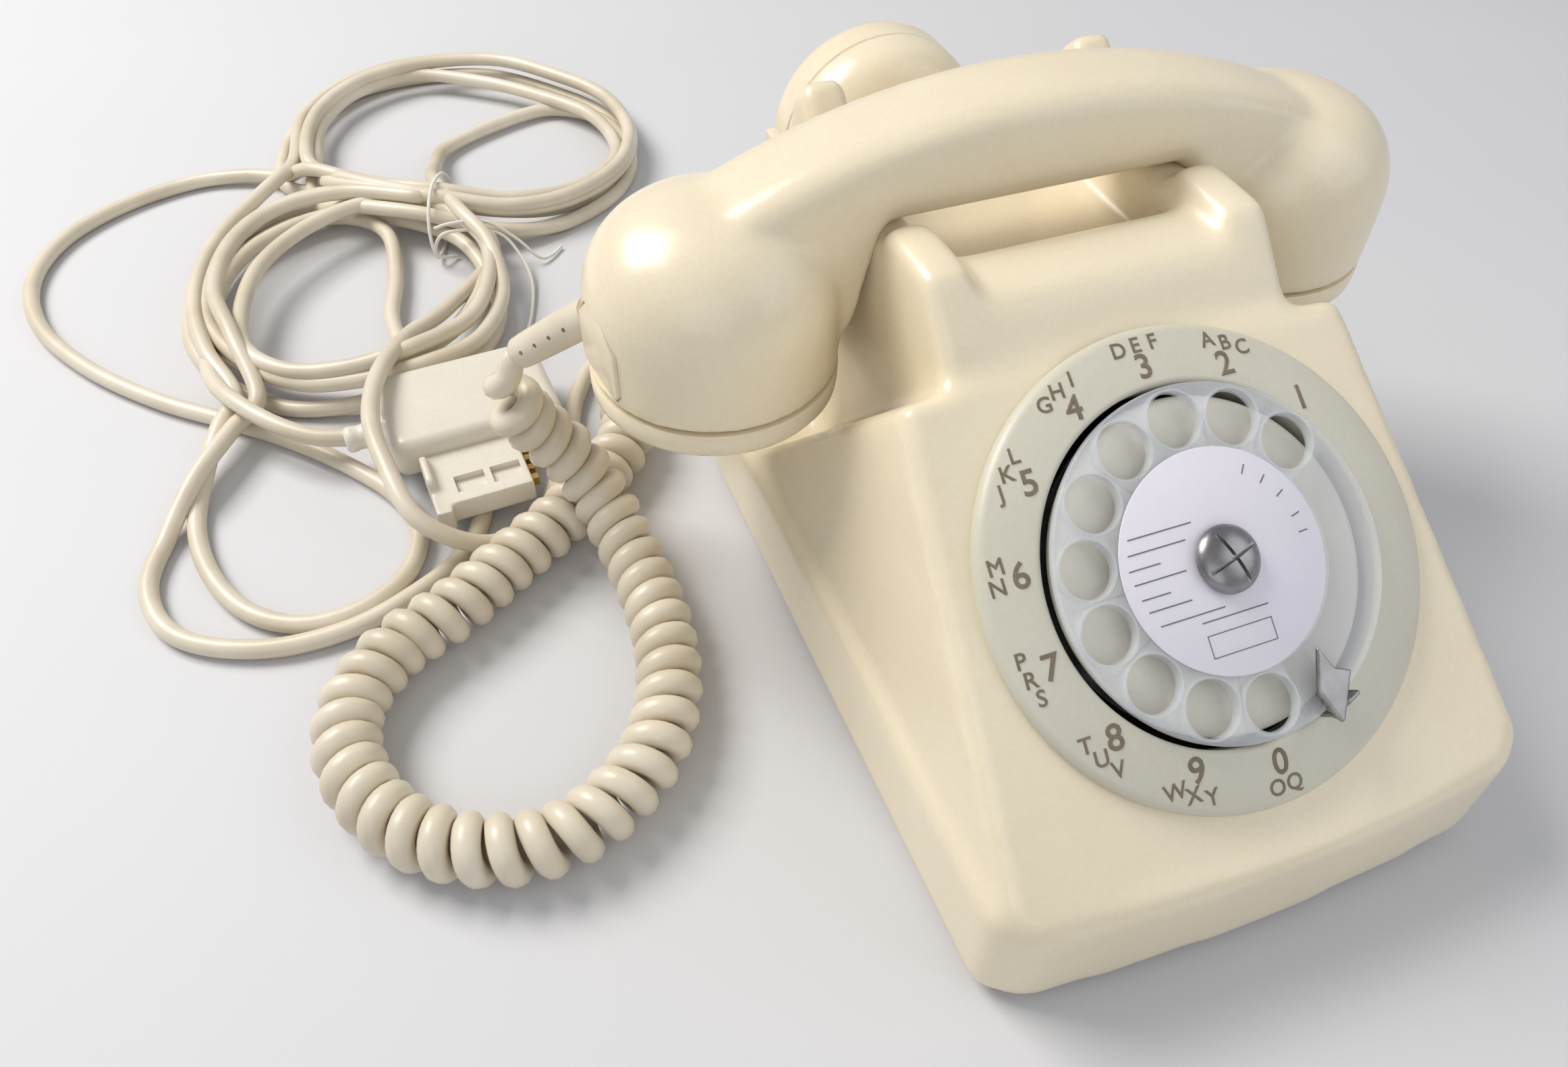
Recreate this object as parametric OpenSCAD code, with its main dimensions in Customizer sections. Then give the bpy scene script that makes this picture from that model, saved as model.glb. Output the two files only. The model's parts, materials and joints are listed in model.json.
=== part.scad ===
// Rotary desk telephone with an extra listening earpiece.
// +X is to the user's right, +Y is away from the user, +Z is up. Millimetres.
// The origin is on the table, under the middle of the telephone without its cords.

/* [Case] */
// Width of the sloping front face at its lower edge
face_w = 119; // [110:1:130]
// Width of the case at its widest, across the skirt
case_w = 138; // [132:1:160]
// Depth of the case from the front lip to the rear wall
case_d = 207; // [200:1:230]
// Height of the skirt's top edge above the table
skirt_z = 34; // [30:1:40]
// Slope of the front face, in degrees
face_tilt = 36.7; // [33:0.1:40]
// Length of the front face, from the lip to the shoulder
face_len = 112.8; // [106:0.5:118]
// How far the middle of the front lip bulges forward
lip_bulge = 3.6; // [0:0.2:6]
// Thickness of the case wall
wall = 2.8; // [2:0.1:3.2]
// Width of the tower that carries the handset
tower_w = 88; // [80:1:92]
// Width of each ear and lug of the cradle
ear_w = 12; // [10:0.5:14]
// Height of the cradle's saddle above the table
saddle_z = 112.4; // [108:0.2:118]
// Height of the rubber feet
foot_h = 3; // [2:0.5:6]
// Thickness of the base plate
base_t = 2.4; // [1.5:0.1:3]

/* [Dial] */
// Distance of the dial's centre from the lip, along the face
dial_s = 62.8; // [60:0.2:65]
// Diameter of the finger wheel
wheel_d = 78; // [74:1:80]
// Diameter of the circle that the finger holes stand on
hole_pcd = 63.8; // [62:0.2:65]
// Diameter of a finger hole
hole_d = 12.8; // [11:0.1:13]
// Angle between two finger holes, in degrees
hole_step = 25.6; // [25:0.1:27]
// Direction of the first finger hole, in degrees from +X
first_hole = 40.8; // [35:0.1:45]
// Outer diameter of the number ring
ring_d = 107.4; // [102:0.4:110]
// Diameter of the number card
card_d = 49; // [46:0.5:50]
// Diameter of the dial shaft
shaft_d = 8; // [6:0.5:9]
// Teeth on the drive gear
gear_teeth = 40; // [36:4:44]
// Teeth on the governor pinion
pinion_teeth = 10; // [9:1:11]

/* [Handset] */
// Distance between the middles of the two cups
cup_span = 158; // [156:1:170]
// Diameter of a cup
cup_d = 62; // [58:0.5:63]
// Width of the grip
grip_w = 30; // [26:0.5:32]
// Height of the grip's crown above the saddle
grip_h = 25.6; // [22:0.2:30]
// Height of the cups' lower faces above the table
cup_z = 70; // [66:0.5:74]
// Height of a cap, from its lower face to its seam
cap_h = 8; // [6:0.5:10]

/* [Listener] */
// Diameter of the extra listener's rim
listener_d = 61; // [56:1:64]
// Height of the listener's axis above the table
listener_z = 83; // [80:0.5:86]
// Length of the listener behind the case
listener_len = 33; // [30:0.5:40]

/* [Cords] */
// Diameter of the line cord
cord_d = 5.6; // [5:0.1:6]
// Outer diameter of the curly cord
curl_d = 18; // [16:0.5:20]
// Height of the tied bundle
bundle_h = 16; // [12:0.5:20]
// Length of the plug
plug_l = 66; // [60:1:72]
// Width of the plug
plug_w = 44; // [40:1:48]
// Thickness of the plug
plug_t = 20; // [16:0.5:22]

/* [Fits] */
// Radial clearance of a shaft in its bush
run_fit = 0.05; // [0.02:0.01:0.09]
// Gap between two pieces that don't touch
gap = 0.3; // [0.2:0.05:0.5]
// Overlap of a cut past a face
cut = 1; // [0.5:0.5:2]

/* [Hidden] */
$fn = 64;

ivory = [0.92, 0.87, 0.75];
ring_grey = [0.80, 0.78, 0.71];
steel = [0.75, 0.75, 0.77];
brass = [0.80, 0.66, 0.35];
cord_colour = [0.84, 0.81, 0.74];
dark = [0.20, 0.20, 0.21];

// The lip stands so that the telephone's front and back are as far from the origin.
lip_y = -(case_d + listener_len - lip_bulge) / 2;
rear_y = lip_y + case_d;
face_rise = tan(face_tilt);
back_tilt = 46;
back_rise = tan(back_tilt);
shoulder_y = lip_y + face_len * cos(face_tilt);
shoulder_z = skirt_z + face_len * sin(face_tilt);
ridge_y = shoulder_y + (shoulder_z - skirt_z) / back_rise;
lip_w = face_w + 5;
tower_front_y = shoulder_y - 4;
ear_front_y = lip_y + (saddle_z - 2.9 - skirt_z) / face_rise;
grip_y = lip_y + 148.5;
valley_z = 96;
lug_y = grip_y + 21;

// Points of an arc from angle a0 to a1.
function arc(cx, cy, r, a0, a1, n) =
    [for (i = [0:n]) let (a = a0 + (a1 - a0) * i / n) [cx + r * cos(a), cy + r * sin(a)]];
// Mirror a half outline, listed from front to back on +X, into a closed outline.
function both_sides(half) = concat(half, [for (i = [len(half) - 1:-1:0]) [-half[i][0], half[i][1]]]);

// ---------------------------------------------------------------- case

// Half of the skirt's outline, moved in by d.
function skirt_half(d) = let (w = lip_w / 2, r = (w * w + lip_bulge * lip_bulge) / (2 * lip_bulge),
        sweep = asin(w / r))
    concat(
        [for (i = [0:6]) let (a = sweep * i / 6)
            [(r - d) * sin(a) * (w - d) / w, lip_y - lip_bulge + d + (r - d) * (1 - cos(a))]],
        [[case_w / 2 - d, lip_y + 112], [case_w / 2 - d, rear_y - 40]],
        arc(case_w / 2 - 24, rear_y - 24, 24 - d, 0, 90, 8));

module skirt(d, z0, z1)
    translate([0, 0, z0]) linear_extrude(z1 - z0) polygon(both_sides(skirt_half(d)));

// Extrude an outline drawn in Y and Z along X, centred.
module across(w) translate([-w / 2, 0, 0]) rotate([90, 0, 90]) linear_extrude(w) children();
// Extrude an outline drawn in X and Z along Y, from y0 to y1.
module along(y0, y1) translate([0, y1, 0]) rotate([90, 0, 0]) linear_extrude(y1 - y0) children();

// The sloping block that carries the dial, moved in by d.
module wedge(d) {
    df = d / cos(face_tilt);
    db = d / cos(back_tilt);
    top_y = shoulder_y + (df - db) / (face_rise + back_rise);
    top_z = shoulder_z + (top_y - shoulder_y) * face_rise - df;
    front_y = lip_y + d;
    low_z = foot_h + base_t;
    lean = (case_w / 2 - 2.3 - face_w / 2 + 3.2) / (shoulder_z - skirt_z);
    intersection() {
        across(case_w) polygon([[front_y, low_z], [front_y, skirt_z + d * face_rise - df], [top_y, top_z],
            [ridge_y - db / back_rise, skirt_z], [ridge_y - db / back_rise, low_z]]);
        along(lip_y - cut, rear_y) polygon([
            for (s = [-1, 1], z = s < 0 ? [low_z, skirt_z, shoulder_z + 9] : [shoulder_z + 9, skirt_z, low_z])
                [s * (case_w / 2 - 2.3 - d - max(0, z - skirt_z) * lean), z]]);
        linear_extrude(shoulder_z + 9) polygon([[-face_w / 2 + d, lip_y], [face_w / 2 - d, lip_y],
            [case_w / 2 - 2.3 - d, lip_y + 95], [case_w / 2 - 2.3 - d, rear_y],
            [-case_w / 2 + 2.3 + d, rear_y], [-case_w / 2 + 2.3 + d, lip_y + 95]]);
    }
}

// Side view of the tower: its front runs on from the face to the ears.
module tower_outline(d, top)
    polygon([[tower_front_y + d, foot_h + base_t],
        [tower_front_y + d, skirt_z + (tower_front_y + d - lip_y) * face_rise - d / cos(face_tilt)],
        [ear_front_y, min(top, saddle_z - 2.9 - d)], [ear_front_y + 18, top],
        [rear_y - 18 - d, top], [rear_y - d, top - 17], [rear_y - d, foot_h + base_t]]);

// Side view of an ear and a lug, which stand on the saddle.
module ear_outline() {
    e = ear_front_y;
    polygon([[e, saddle_z - 2.9], [e + 19, saddle_z + 4.6], [e + 27, saddle_z + 5.4],
        [e + 30, saddle_z + 4.6], [grip_y - grip_w / 2 - 1.2, saddle_z - 0.01], [e + 20, saddle_z - cut]]);
    polygon([[grip_y + grip_w / 2 + 3, saddle_z - cut], [grip_y + grip_w / 2 + 3, saddle_z],
        [lug_y + 2, saddle_z + 6], [lug_y + 5, saddle_z + 13], [lug_y + 7, saddle_z + 15],
        [lug_y + 13, saddle_z + 15], [lug_y + 16, saddle_z + 12], [lug_y + 20, saddle_z - cut]]);
}

// The hollow between the ears, where the fingers go under the grip.
module hand_gap()
    across(tower_w - 2 * ear_w) polygon([[ear_front_y + 20, saddle_z + 9], [ear_front_y + 20, saddle_z],
        [ear_front_y + 30, valley_z], [lug_y + 4, valley_z], [lug_y + 22, saddle_z + 9]]);

module case_shell() color(ivory) difference() {
    union() {
        skirt(0, foot_h, skirt_z);
        wedge(0);
        across(tower_w) tower_outline(0, saddle_z);
        for (s = [-1, 1]) translate([s * (tower_w - ear_w) / 2, 0, 0]) across(ear_w) ear_outline();
    }
    difference() {
        union() {
            skirt(wall, foot_h - cut, skirt_z - wall);
            wedge(wall);
            across(tower_w - 2 * wall) tower_outline(wall, valley_z - wall);
        }
        screw_places() cylinder(d = boss_d, h = shoulder_z);
    }
    hand_gap();
    on_face() translate([0, 0, -30]) cylinder(d = dial_opening_d, h = 40);
    for (s = [-1, 1]) translate([s * plunger_x, grip_y, valley_z - 3 * wall])
        cylinder(d = plunger_d + 2 * gap, h = 40);
    translate([0, 0, -cut]) base_plate_form(-gap, foot_h + base_t + cut + gap);
    screw_places() translate([0, 0, -cut]) cylinder(d = screw_d + 2 * gap, h = foot_h + base_t + screw_l);
    for (x = gland_x) translate([x, rear_y + cut, gland_z]) rotate([90, 0, 0])
        cylinder(d = gland_d, h = 3 * wall);
    bracket_screw_places() rotate([90, 0, 0]) translate([0, 0, -3 * wall])
        cylinder(d = 3 + 2 * gap, h = 8 * wall);
}

// ---------------------------------------------------------------- base

boss_d = 8;
screw_d = 3.4;
screw_l = 11;
foot_d = 14;

module screw_places() for (x = [-1, 1], y = [lip_y + 18, rear_y - 22])
    translate([x * (y < 0 ? 48 : 52), y, 0]) children();

module base_plate_form(d, h) linear_extrude(h) polygon(both_sides(skirt_half(wall + gap + d)));

module base_plate() color(dark) difference() {
    translate([0, 0, foot_h]) base_plate_form(0, base_t);
    screw_places() cylinder(d = screw_d + 2 * gap, h = 20);
    translate([0, 0, foot_h - cut]) foot_places() cylinder(d = 6, h = base_t + 2 * cut);
}

module foot_places() for (x = [-1, 1], y = [lip_y + 32, rear_y - 38]) translate([x * 50, y, 0]) children();

module rubber_feet() color(dark) foot_places() union() {
    cylinder(d = foot_d, h = foot_h);
    cylinder(d = 6, h = foot_h + base_t);
    translate([0, 0, foot_h + base_t]) cylinder(d = 8, h = 1.2);
}

module base_screws() color(steel) screw_places() difference() {
    union() {
        translate([0, 0, 0.8]) cylinder(d = 7, h = foot_h - 0.8);
        cylinder(d = screw_d, h = foot_h + base_t + screw_l - 2);
    }
    translate([-5, -0.5, -cut]) cube([10, 1, 2.6 + cut]);
}

// ---------------------------------------------------------------- dial

dial_opening_d = wheel_d + 4;
wheel_z = 5.8;
wheel_t = 2.4;
plate_z = 1.4;
plate_t = 2;
stop_angle = -67;
gear_z = -18;
gear_t = 3;
tooth_m = 1.2;
gear_r = gear_teeth * tooth_m / 2;
pinion_r = pinion_teeth * tooth_m / 2;
governor_angle = 150;

// The dial's own frame: +Z out of the face, +Y up the slope.
module on_face() translate([0, lip_y + dial_s * cos(face_tilt), skirt_z + dial_s * sin(face_tilt)])
    rotate([face_tilt, 0, 0]) children();

module number_ring() color(ring_grey) on_face() rotate_extrude($fn = 120) polygon([
    [wheel_d / 2 + 0.9, -6], [dial_opening_d / 2 - gap, -6], [dial_opening_d / 2 - gap, 0],
    [ring_d / 2, 0], [ring_d / 2, 1.6], [ring_d / 2 - 1.4, 3.2], [wheel_d / 2 + 2.4, 4.6],
    [wheel_d / 2 + 0.9, 4.2]]);

module dial_plate() color(ivory) on_face() difference() {
    translate([0, 0, plate_z]) cylinder(r = wheel_d / 2 + 0.6, h = plate_t);
    translate([0, 0, -cut]) cylinder(d = shaft_d + 6, h = 10);
    dial_screw_places() translate([0, 0, -cut]) cylinder(d = 3 + 2 * gap, h = 10);
}

module dial_screw_places() for (a = [90, 210, 330]) rotate(a) translate([30, 0, 0]) children();

// Die-cast frame behind the dial, with posts up to the plate and a bridge for the bush.
module dial_frame() color(steel) on_face() difference() {
    union() {
        translate([0, 0, -8]) cylinder(r = 36, h = 2);
        dial_screw_places() translate([0, 0, -8]) cylinder(d = 9, h = 8 + plate_z);
        cylinder(d = 22, h = plate_z - 0.2);
        translate([0, 0, -8]) cylinder(d = 22, h = 8);
    }
    translate([0, 0, -9]) cylinder(d = 14, h = 20);
    dial_screw_places() translate([0, 0, -10]) cylinder(d = 3, h = 20);
    rotate(governor_angle) translate([gear_r + pinion_r + 0.3, 0, -10]) cylinder(d = 4, h = 6);
}

module dial_bush() color(brass) on_face() difference() {
    translate([0, 0, -8]) cylinder(d = 14, h = 8 + plate_z);
    translate([0, 0, -10]) cylinder(d = shaft_d + 2 * run_fit, h = 20);
}

module dial_shaft() color(steel) on_face() translate([0, 0, -30]) cylinder(d = shaft_d, h = 30 + wheel_z);

module finger_wheel() color([0.93, 0.93, 0.95, 0.5]) on_face() difference() {
    union() {
        translate([0, 0, wheel_z]) cylinder(d = wheel_d, h = wheel_t, $fn = 120);
        translate([0, 0, wheel_z + wheel_t]) difference() {
            cylinder(d = card_d + 3, h = 1.2);
            translate([0, 0, -cut]) cylinder(d = card_d + 0.2, h = 4);
        }
    }
    for (i = [0:9]) rotate(first_hole + i * hole_step) translate([hole_pcd / 2, 0, 0])
        cylinder(d = hole_d, h = 20);
}

module number_card() color("white") on_face() translate([0, 0, wheel_z + wheel_t])
    cylinder(d = card_d, h = 0.4);

module card_window() color([0.95, 0.95, 0.98, 0.4]) on_face()
    translate([0, 0, wheel_z + wheel_t + 0.4]) cylinder(d = card_d, h = 0.8);

module centre_screw() color(steel) on_face() translate([0, 0, wheel_z + wheel_t + 1.2]) difference() {
    intersection() {
        translate([0, 0, -9.4]) sphere(r = 12);
        cylinder(d = 15, h = 4);
    }
    for (a = [45, 135]) rotate(a) translate([-4.5, -0.6, 1.4]) cube([9, 1.2, 3]);
}

// Bent steel strip that stands on the ring and reaches in over the wheel.
module finger_stop() color(steel) on_face() rotate(stop_angle) union() {
    translate([wheel_d / 2 + 1.4, -4, 4.6]) cube([8, 8, 1]);
    translate([wheel_d / 2 + 1.4, -3.5, 4.6]) cube([1.4, 7, 6.4]);
    translate([hole_pcd / 2 - 1.5, -3.5, 9.8]) cube([wheel_d / 2 + 2.8 - hole_pcd / 2 + 1.5, 7, 1.2]);
}

// Straight-sided teeth, thin enough to run with a little backlash.
module toothed_wheel(teeth, r, t, thin) {
    cylinder(r = r - 1.1 * tooth_m, h = t);
    for (i = [0:teeth - 1]) rotate(i * 360 / teeth) linear_extrude(t)
        polygon([[r - 1.4 * tooth_m, -0.9 * thin], [r + 0.75 * tooth_m, -0.35 * thin],
            [r + 0.75 * tooth_m, 0.35 * thin], [r - 1.4 * tooth_m, 0.9 * thin]]);
}

module drive_gear() color(brass) on_face() translate([0, 0, gear_z]) rotate(governor_angle) difference() {
    toothed_wheel(gear_teeth, gear_r, gear_t, 0.75);
    translate([0, 0, -cut]) cylinder(d = shaft_d, h = 10);
}

module pulse_cam() color(dark) on_face() translate([0, 0, -27]) difference() {
    union() {
        cylinder(r = 9, h = 4);
        for (i = [0:9]) rotate(i * 30) translate([8, -1, 0]) cube([3, 2, 4]);
    }
    translate([0, 0, -cut]) cylinder(d = shaft_d, h = 10);
}

// Flat spiral spring in its place round the shaft.
module main_spring() color(steel) on_face() translate([0, 0, -13]) linear_extrude(3.5) {
    turns = 4;
    steps = 24 * turns;
    polygon(concat(
        [for (i = [0:steps]) let (a = i * 360 / 24, r = 6 + 9 * i / steps) [r * cos(a), r * sin(a)]],
        [for (i = [steps:-1:0]) let (a = i * 360 / 24, r = 6.8 + 9 * i / steps) [r * cos(a), r * sin(a)]]));
}

module on_governor() on_face() rotate(governor_angle)
    translate([gear_r + pinion_r + 0.3, 0, gear_z]) children();

module governor() color(brass) on_governor() union() {
    difference() {
        rotate(180 / pinion_teeth) toothed_wheel(pinion_teeth, pinion_r, gear_t, 0.75);
        translate([0, 0, -cut]) cylinder(d = 2, h = 10);
    }
    translate([0, 0, -9]) cylinder(d = 2, h = 18);
    for (a = [0, 180]) rotate(a) translate([2.2, -1.5, -7]) cube([2.6, 3, 4]);
    translate([-3, -0.6, -5.5]) cube([6, 1.2, 1]);
}

module governor_cup() color(steel) on_governor() translate([0, 0, -9.4]) difference() {
    cylinder(d = 16, h = 8);
    translate([0, 0, 1.2]) cylinder(d = 12.4, h = 8);
    translate([0, 0, -cut]) cylinder(d = 2 + 2 * run_fit, h = 8);
}

module pulse_contacts() color(brass) on_face() translate([-8, -27, -28]) for (i = [0:2])
    translate([0, -3 * i, 0]) cube([24, 0.5, 6]);

module dial_screws() color(steel) on_face() dial_screw_places() union() {
    translate([0, 0, -6]) cylinder(d = 3, h = 6 + plate_z + plate_t);
    translate([0, 0, plate_z + plate_t]) cylinder(d = 5.4, h = 1.2);
}

// ---------------------------------------------------------------- hook switch

plunger_d = 5;
plunger_x = (tower_w - ear_w) / 2;
hook_bar_z = valley_z - wall - 12;

module hook_bar() color(ivory) {
    for (s = [-1, 1]) translate([s * plunger_x, grip_y, hook_bar_z])
        cylinder(d = plunger_d, h = saddle_z + 0.2 - hook_bar_z);
    translate([-plunger_x - 3, grip_y - 3, hook_bar_z]) cube([2 * plunger_x + 6, 6, 3]);
}

module hook_springs() color(brass) {
    for (i = [0:3]) translate([-18, grip_y - 6 + 4 * i - 0.3, hook_bar_z - 16]) cube([36, 0.6, 8]);
    translate([-20, grip_y - 9, hook_bar_z - 16]) cube([5, 18, 8]);
}

// ---------------------------------------------------------------- inside the case

floor_z = foot_h + base_t;

module circuit_board() color([0.55, 0.42, 0.22]) difference() {
    translate([-46, lip_y + 34, floor_z + 5]) cube([92, 62, 1.6]);
    board_posts() translate([0, 0, -cut]) cylinder(d = 3.4, h = 30);
}

module board_posts() for (x = [-1, 1], y = [lip_y + 39, lip_y + 91]) translate([x * 41, y, 0]) children();

module induction_coil() color(dark) translate([-34, lip_y + 48, floor_z + 6.6]) union() {
    cube([24, 24, 3]);
    translate([4, 2, 3]) cube([16, 20, 10]);
}

module capacitor() color(steel) translate([14, lip_y + 50, floor_z + 6.6 + 6]) rotate([-90, 0, 0])
    cylinder(d = 12, h = 28);

module terminal_block() color(dark) difference() {
    translate([-40, rear_y - 30, floor_z]) cube([70, 12, 10]);
    for (i = [0:5]) translate([-34 + 11.6 * i, rear_y - 24, floor_z + 4]) cylinder(d = 4, h = 10);
}

gong_d = 46;
gong_x = 27;
gong_y = lip_y + 136;
coil_y = gong_y + 32;

module gongs() color(brass) for (s = [-1, 1]) translate([s * gong_x, gong_y, floor_z]) union() {
    cylinder(d = 5, h = 18);
    translate([0, 0, 4]) rotate_extrude() polygon([[2.5, 12], [14, 12], [20, 8.5], [gong_d / 2 - 1.4, 0],
        [gong_d / 2, 0], [21.2, 9.4], [14.6, 13.4], [2.5, 13.4]]);
}

module ringer_coil() color([0.55, 0.25, 0.15]) translate([-16, coil_y, floor_z + 8])
    rotate([0, 90, 0]) difference() {
        cylinder(d = 15, h = 32);
        translate([0, 0, -cut]) cylinder(d = 6, h = 40);
    }

module ringer_core() color(steel) {
    translate([-20, coil_y, floor_z + 8]) rotate([0, 90, 0]) cylinder(d = 6, h = 40);
    for (s = [-1, 1]) translate([s * 18.5 - 1.5, coil_y - 8, floor_z]) cube([3, 16, 16]);
}

clapper_y = gong_y + 24;
clapper_z = floor_z + 22;

module clapper() color(steel) union() {
    translate([0, clapper_y, clapper_z - 3]) cylinder(d = 4, h = 6);
    translate([-0.6, gong_y - 2, clapper_z - 0.6]) cube([1.2, clapper_y - gong_y, 1.2]);
    translate([0, gong_y - 2, clapper_z - 11]) cylinder(d = 3, h = 11.6);
}

// ---------------------------------------------------------------- handset

cup_x = cup_span / 2;
seam_z = cup_z + cap_h;
grip_under_z = saddle_z + 0.5;
crown_z = saddle_z + grip_h;
cup_top_z = 97;
arch_r = (cup_span - cup_d - tower_w) / 2 + 0.6;
crown_drop = crown_z - 103;
crown_r = (pow(cup_x + cup_d / 2, 2) + crown_drop * crown_drop) / (2 * crown_drop);
crown_sweep = asin(cup_x / crown_r);

// Front view of the grip: an arched top, and an arch below with rounded corners.
module grip_outline() {
    inner = cup_x - cup_d / 2 + 1;
    polygon(concat(
        arc(0, crown_z - crown_r, crown_r, 90 + crown_sweep, 90 - crown_sweep, 24),
        [[cup_x, cup_top_z - 6], [inner, cup_top_z - 6]],
        arc(inner - arch_r, grip_under_z - arch_r, arch_r, 0, 90, 6),
        arc(-inner + arch_r, grip_under_z - arch_r, arch_r, 90, 180, 6),
        [[-inner, cup_top_z - 6], [-cup_x, cup_top_z - 6]]));
}

// Side view of the grip: a flat crown with bevelled edges.
module grip_section() {
    h = grip_w / 2;
    polygon([[grip_y - h + 3, cup_top_z - 12], [grip_y + h - 3, cup_top_z - 12],
        [grip_y + h - 3, grip_under_z], [grip_y + h, grip_under_z + 5], [grip_y + h, crown_z - 8],
        [grip_y + h - 6, crown_z + cut], [grip_y - h + 6, crown_z + cut], [grip_y - h, crown_z - 8],
        [grip_y - h, grip_under_z + 5], [grip_y - h + 3, grip_under_z]]);
}

module handset_body() color(ivory) difference() {
    union() {
        intersection() {
            along(grip_y - grip_w, grip_y + grip_w) grip_outline();
            across(2 * cup_span) grip_section();
        }
        for (s = [-1, 1]) translate([s * cup_x, grip_y, 0]) {
            translate([0, 0, seam_z]) cylinder(d = cup_d, h = cup_top_z - seam_z);
            translate([0, 0, cup_top_z]) cylinder(d1 = cup_d, d2 = cup_d - 6, h = 9);
            translate([0, 0, cup_top_z + 9]) cylinder(d1 = cup_d - 6, d2 = cup_d - 18, h = 8);
            translate([0, 0, cup_top_z + 17]) cylinder(d1 = cup_d - 18, d2 = 22, h = 6);
        }
    }
    for (s = [-1, 1]) translate([s * cup_x, grip_y, 0]) {
        translate([0, 0, seam_z - cut]) cylinder(d = cup_d - 2 * wall, h = cup_top_z - seam_z + cut - 1);
        translate([-s * 10, 0, cup_top_z - 2]) cylinder(d = 8, h = 20);
    }
    translate([-cup_x + 10, grip_y, cup_top_z + 16]) rotate([0, 90, 0])
        cylinder(d = 8, h = 2 * cup_x - 20);
    clamp_place() translate([-4, -clamp_w / 2 - gap, -clamp_h / 2 - gap])
        cube([10, clamp_w + 2 * gap, clamp_h + 2 * gap]);
    on_relief() cylinder(d = relief_d + 2 * gap, h = relief_l, center = true);
}

clamp_w = 15;
clamp_h = 17;
clamp_t = 2;
relief_d = 9;
relief_l = 30;

// The cord clamp sits in the cup's outer end, above the seam.
module clamp_place() translate([-cup_x, grip_y, seam_z + clamp_h / 2 + 3.6]) rotate(180)
    translate([cup_d / 2 - 3, 0, 0]) children();

module cord_clamp_plate() color(ivory) clamp_place()
    translate([-1, -clamp_w / 2, -clamp_h / 2]) cube([clamp_t + 1, clamp_w, clamp_h]);

// Where the relief leaves the clamp plate, and how it points out, back and down.
relief_root = [-cup_x - cup_d / 2 + 4.5, grip_y + 15.5, seam_z + 8];
module on_relief() translate(relief_root) rotate([0, 0, 139]) rotate([0, 129, 0]) children();

module handset_relief() color(cord_colour) on_relief()
    cylinder(d1 = relief_d, d2 = relief_d - 1.6, h = relief_l);

module sound_holes(n, r, d) for (i = [0:n - 1]) rotate(i * 360 / n) translate([r, 0, -cut])
    cylinder(d = d, h = 20);

module cap(x, holes) translate([x, grip_y, cup_z]) difference() {
    union() {
        rotate_extrude() polygon([[0, 2], [16, 1], [26, 0], [29.5, 1.2], [cup_d / 2, 4.4],
            [cup_d / 2, cap_h - gap], [cup_d / 2 - wall, cap_h - gap], [cup_d / 2 - wall - gap, cap_h + 3],
            [cup_d / 2 - 2 * wall, cap_h + 3], [cup_d / 2 - 2 * wall, 4.6], [0, 4.6]]);
    }
    sound_holes(holes, 12, 2.2);
    sound_holes(6, 6, 2.2);
}

module mouth_cap() color(ivory) cap(-cup_x, 12);
module ear_cap() color(ivory) cap(cup_x, 10);

module capsule(x, h) translate([x, grip_y, seam_z]) union() {
    cylinder(d = 46, h = h);
    translate([0, 0, h]) cylinder(d = 18, h = 3);
}

module transmitter_capsule() color(steel) capsule(-cup_x, 10);
module receiver_capsule() color(steel) capsule(cup_x, 8);

// ---------------------------------------------------------------- listener

listener_rear_y = rear_y + listener_len;
listener_front_y = rear_y + 3.4;
listener_seam_y = listener_rear_y - 14;

// Turn a profile drawn as radius and length so that it runs along +Y from the listener's front.
module listener_turn() translate([0, listener_front_y, listener_z]) rotate([-90, 0, 0])
    rotate_extrude($fn = 96) children();

module listener_body() color(ivory) difference() {
    listener_turn() polygon([[0, 0], [19, 0], [25, 2], [listener_d / 2 - 1, 9],
        [listener_d / 2, listener_seam_y - listener_front_y], [0, listener_seam_y - listener_front_y]]);
    listener_turn() polygon([[0, 3], [17, 3], [listener_d / 2 - 5, 9],
        [listener_d / 2 - wall, listener_seam_y - listener_front_y - 5],
        [listener_d / 2 - wall, 40], [0, 40]]);
}

module listener_cap() color(ivory) difference() {
    listener_turn() translate([0, listener_seam_y - listener_front_y]) polygon([[0, 9], [24, 9],
        [listener_d / 2 - wall - gap, 6], [listener_d / 2 - wall - gap, gap], [listener_d / 2, gap],
        [listener_d / 2, 9.6], [listener_d / 2 - 2.4, 13.4], [24, 14], [12, 12.4], [0, 11.8]]);
    translate([0, listener_seam_y, listener_z]) rotate([-90, 0, 0]) {
        sound_holes(10, 11, 2.2);
        sound_holes(5, 5, 2.2);
    }
}

module listener_capsule() color(steel) translate([0, listener_seam_y - 6, listener_z])
    rotate([-90, 0, 0]) cylinder(d = 46, h = 10);

// Holder screwed to the back of the tower: a plate, a ledge under the listener and an arm at each side.
arm_x = listener_d / 2 + 2;
arm_t = 4;
arm_l = 20;
arm_h = 42;
ledge_t = 3;
ledge_z = listener_z - listener_d / 2 - gap;
bracket_t = 2.6;
module bracket_screw_places() for (s = [-1, 1]) translate([s * 24, rear_y + 3, listener_z - 26]) children();

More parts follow.
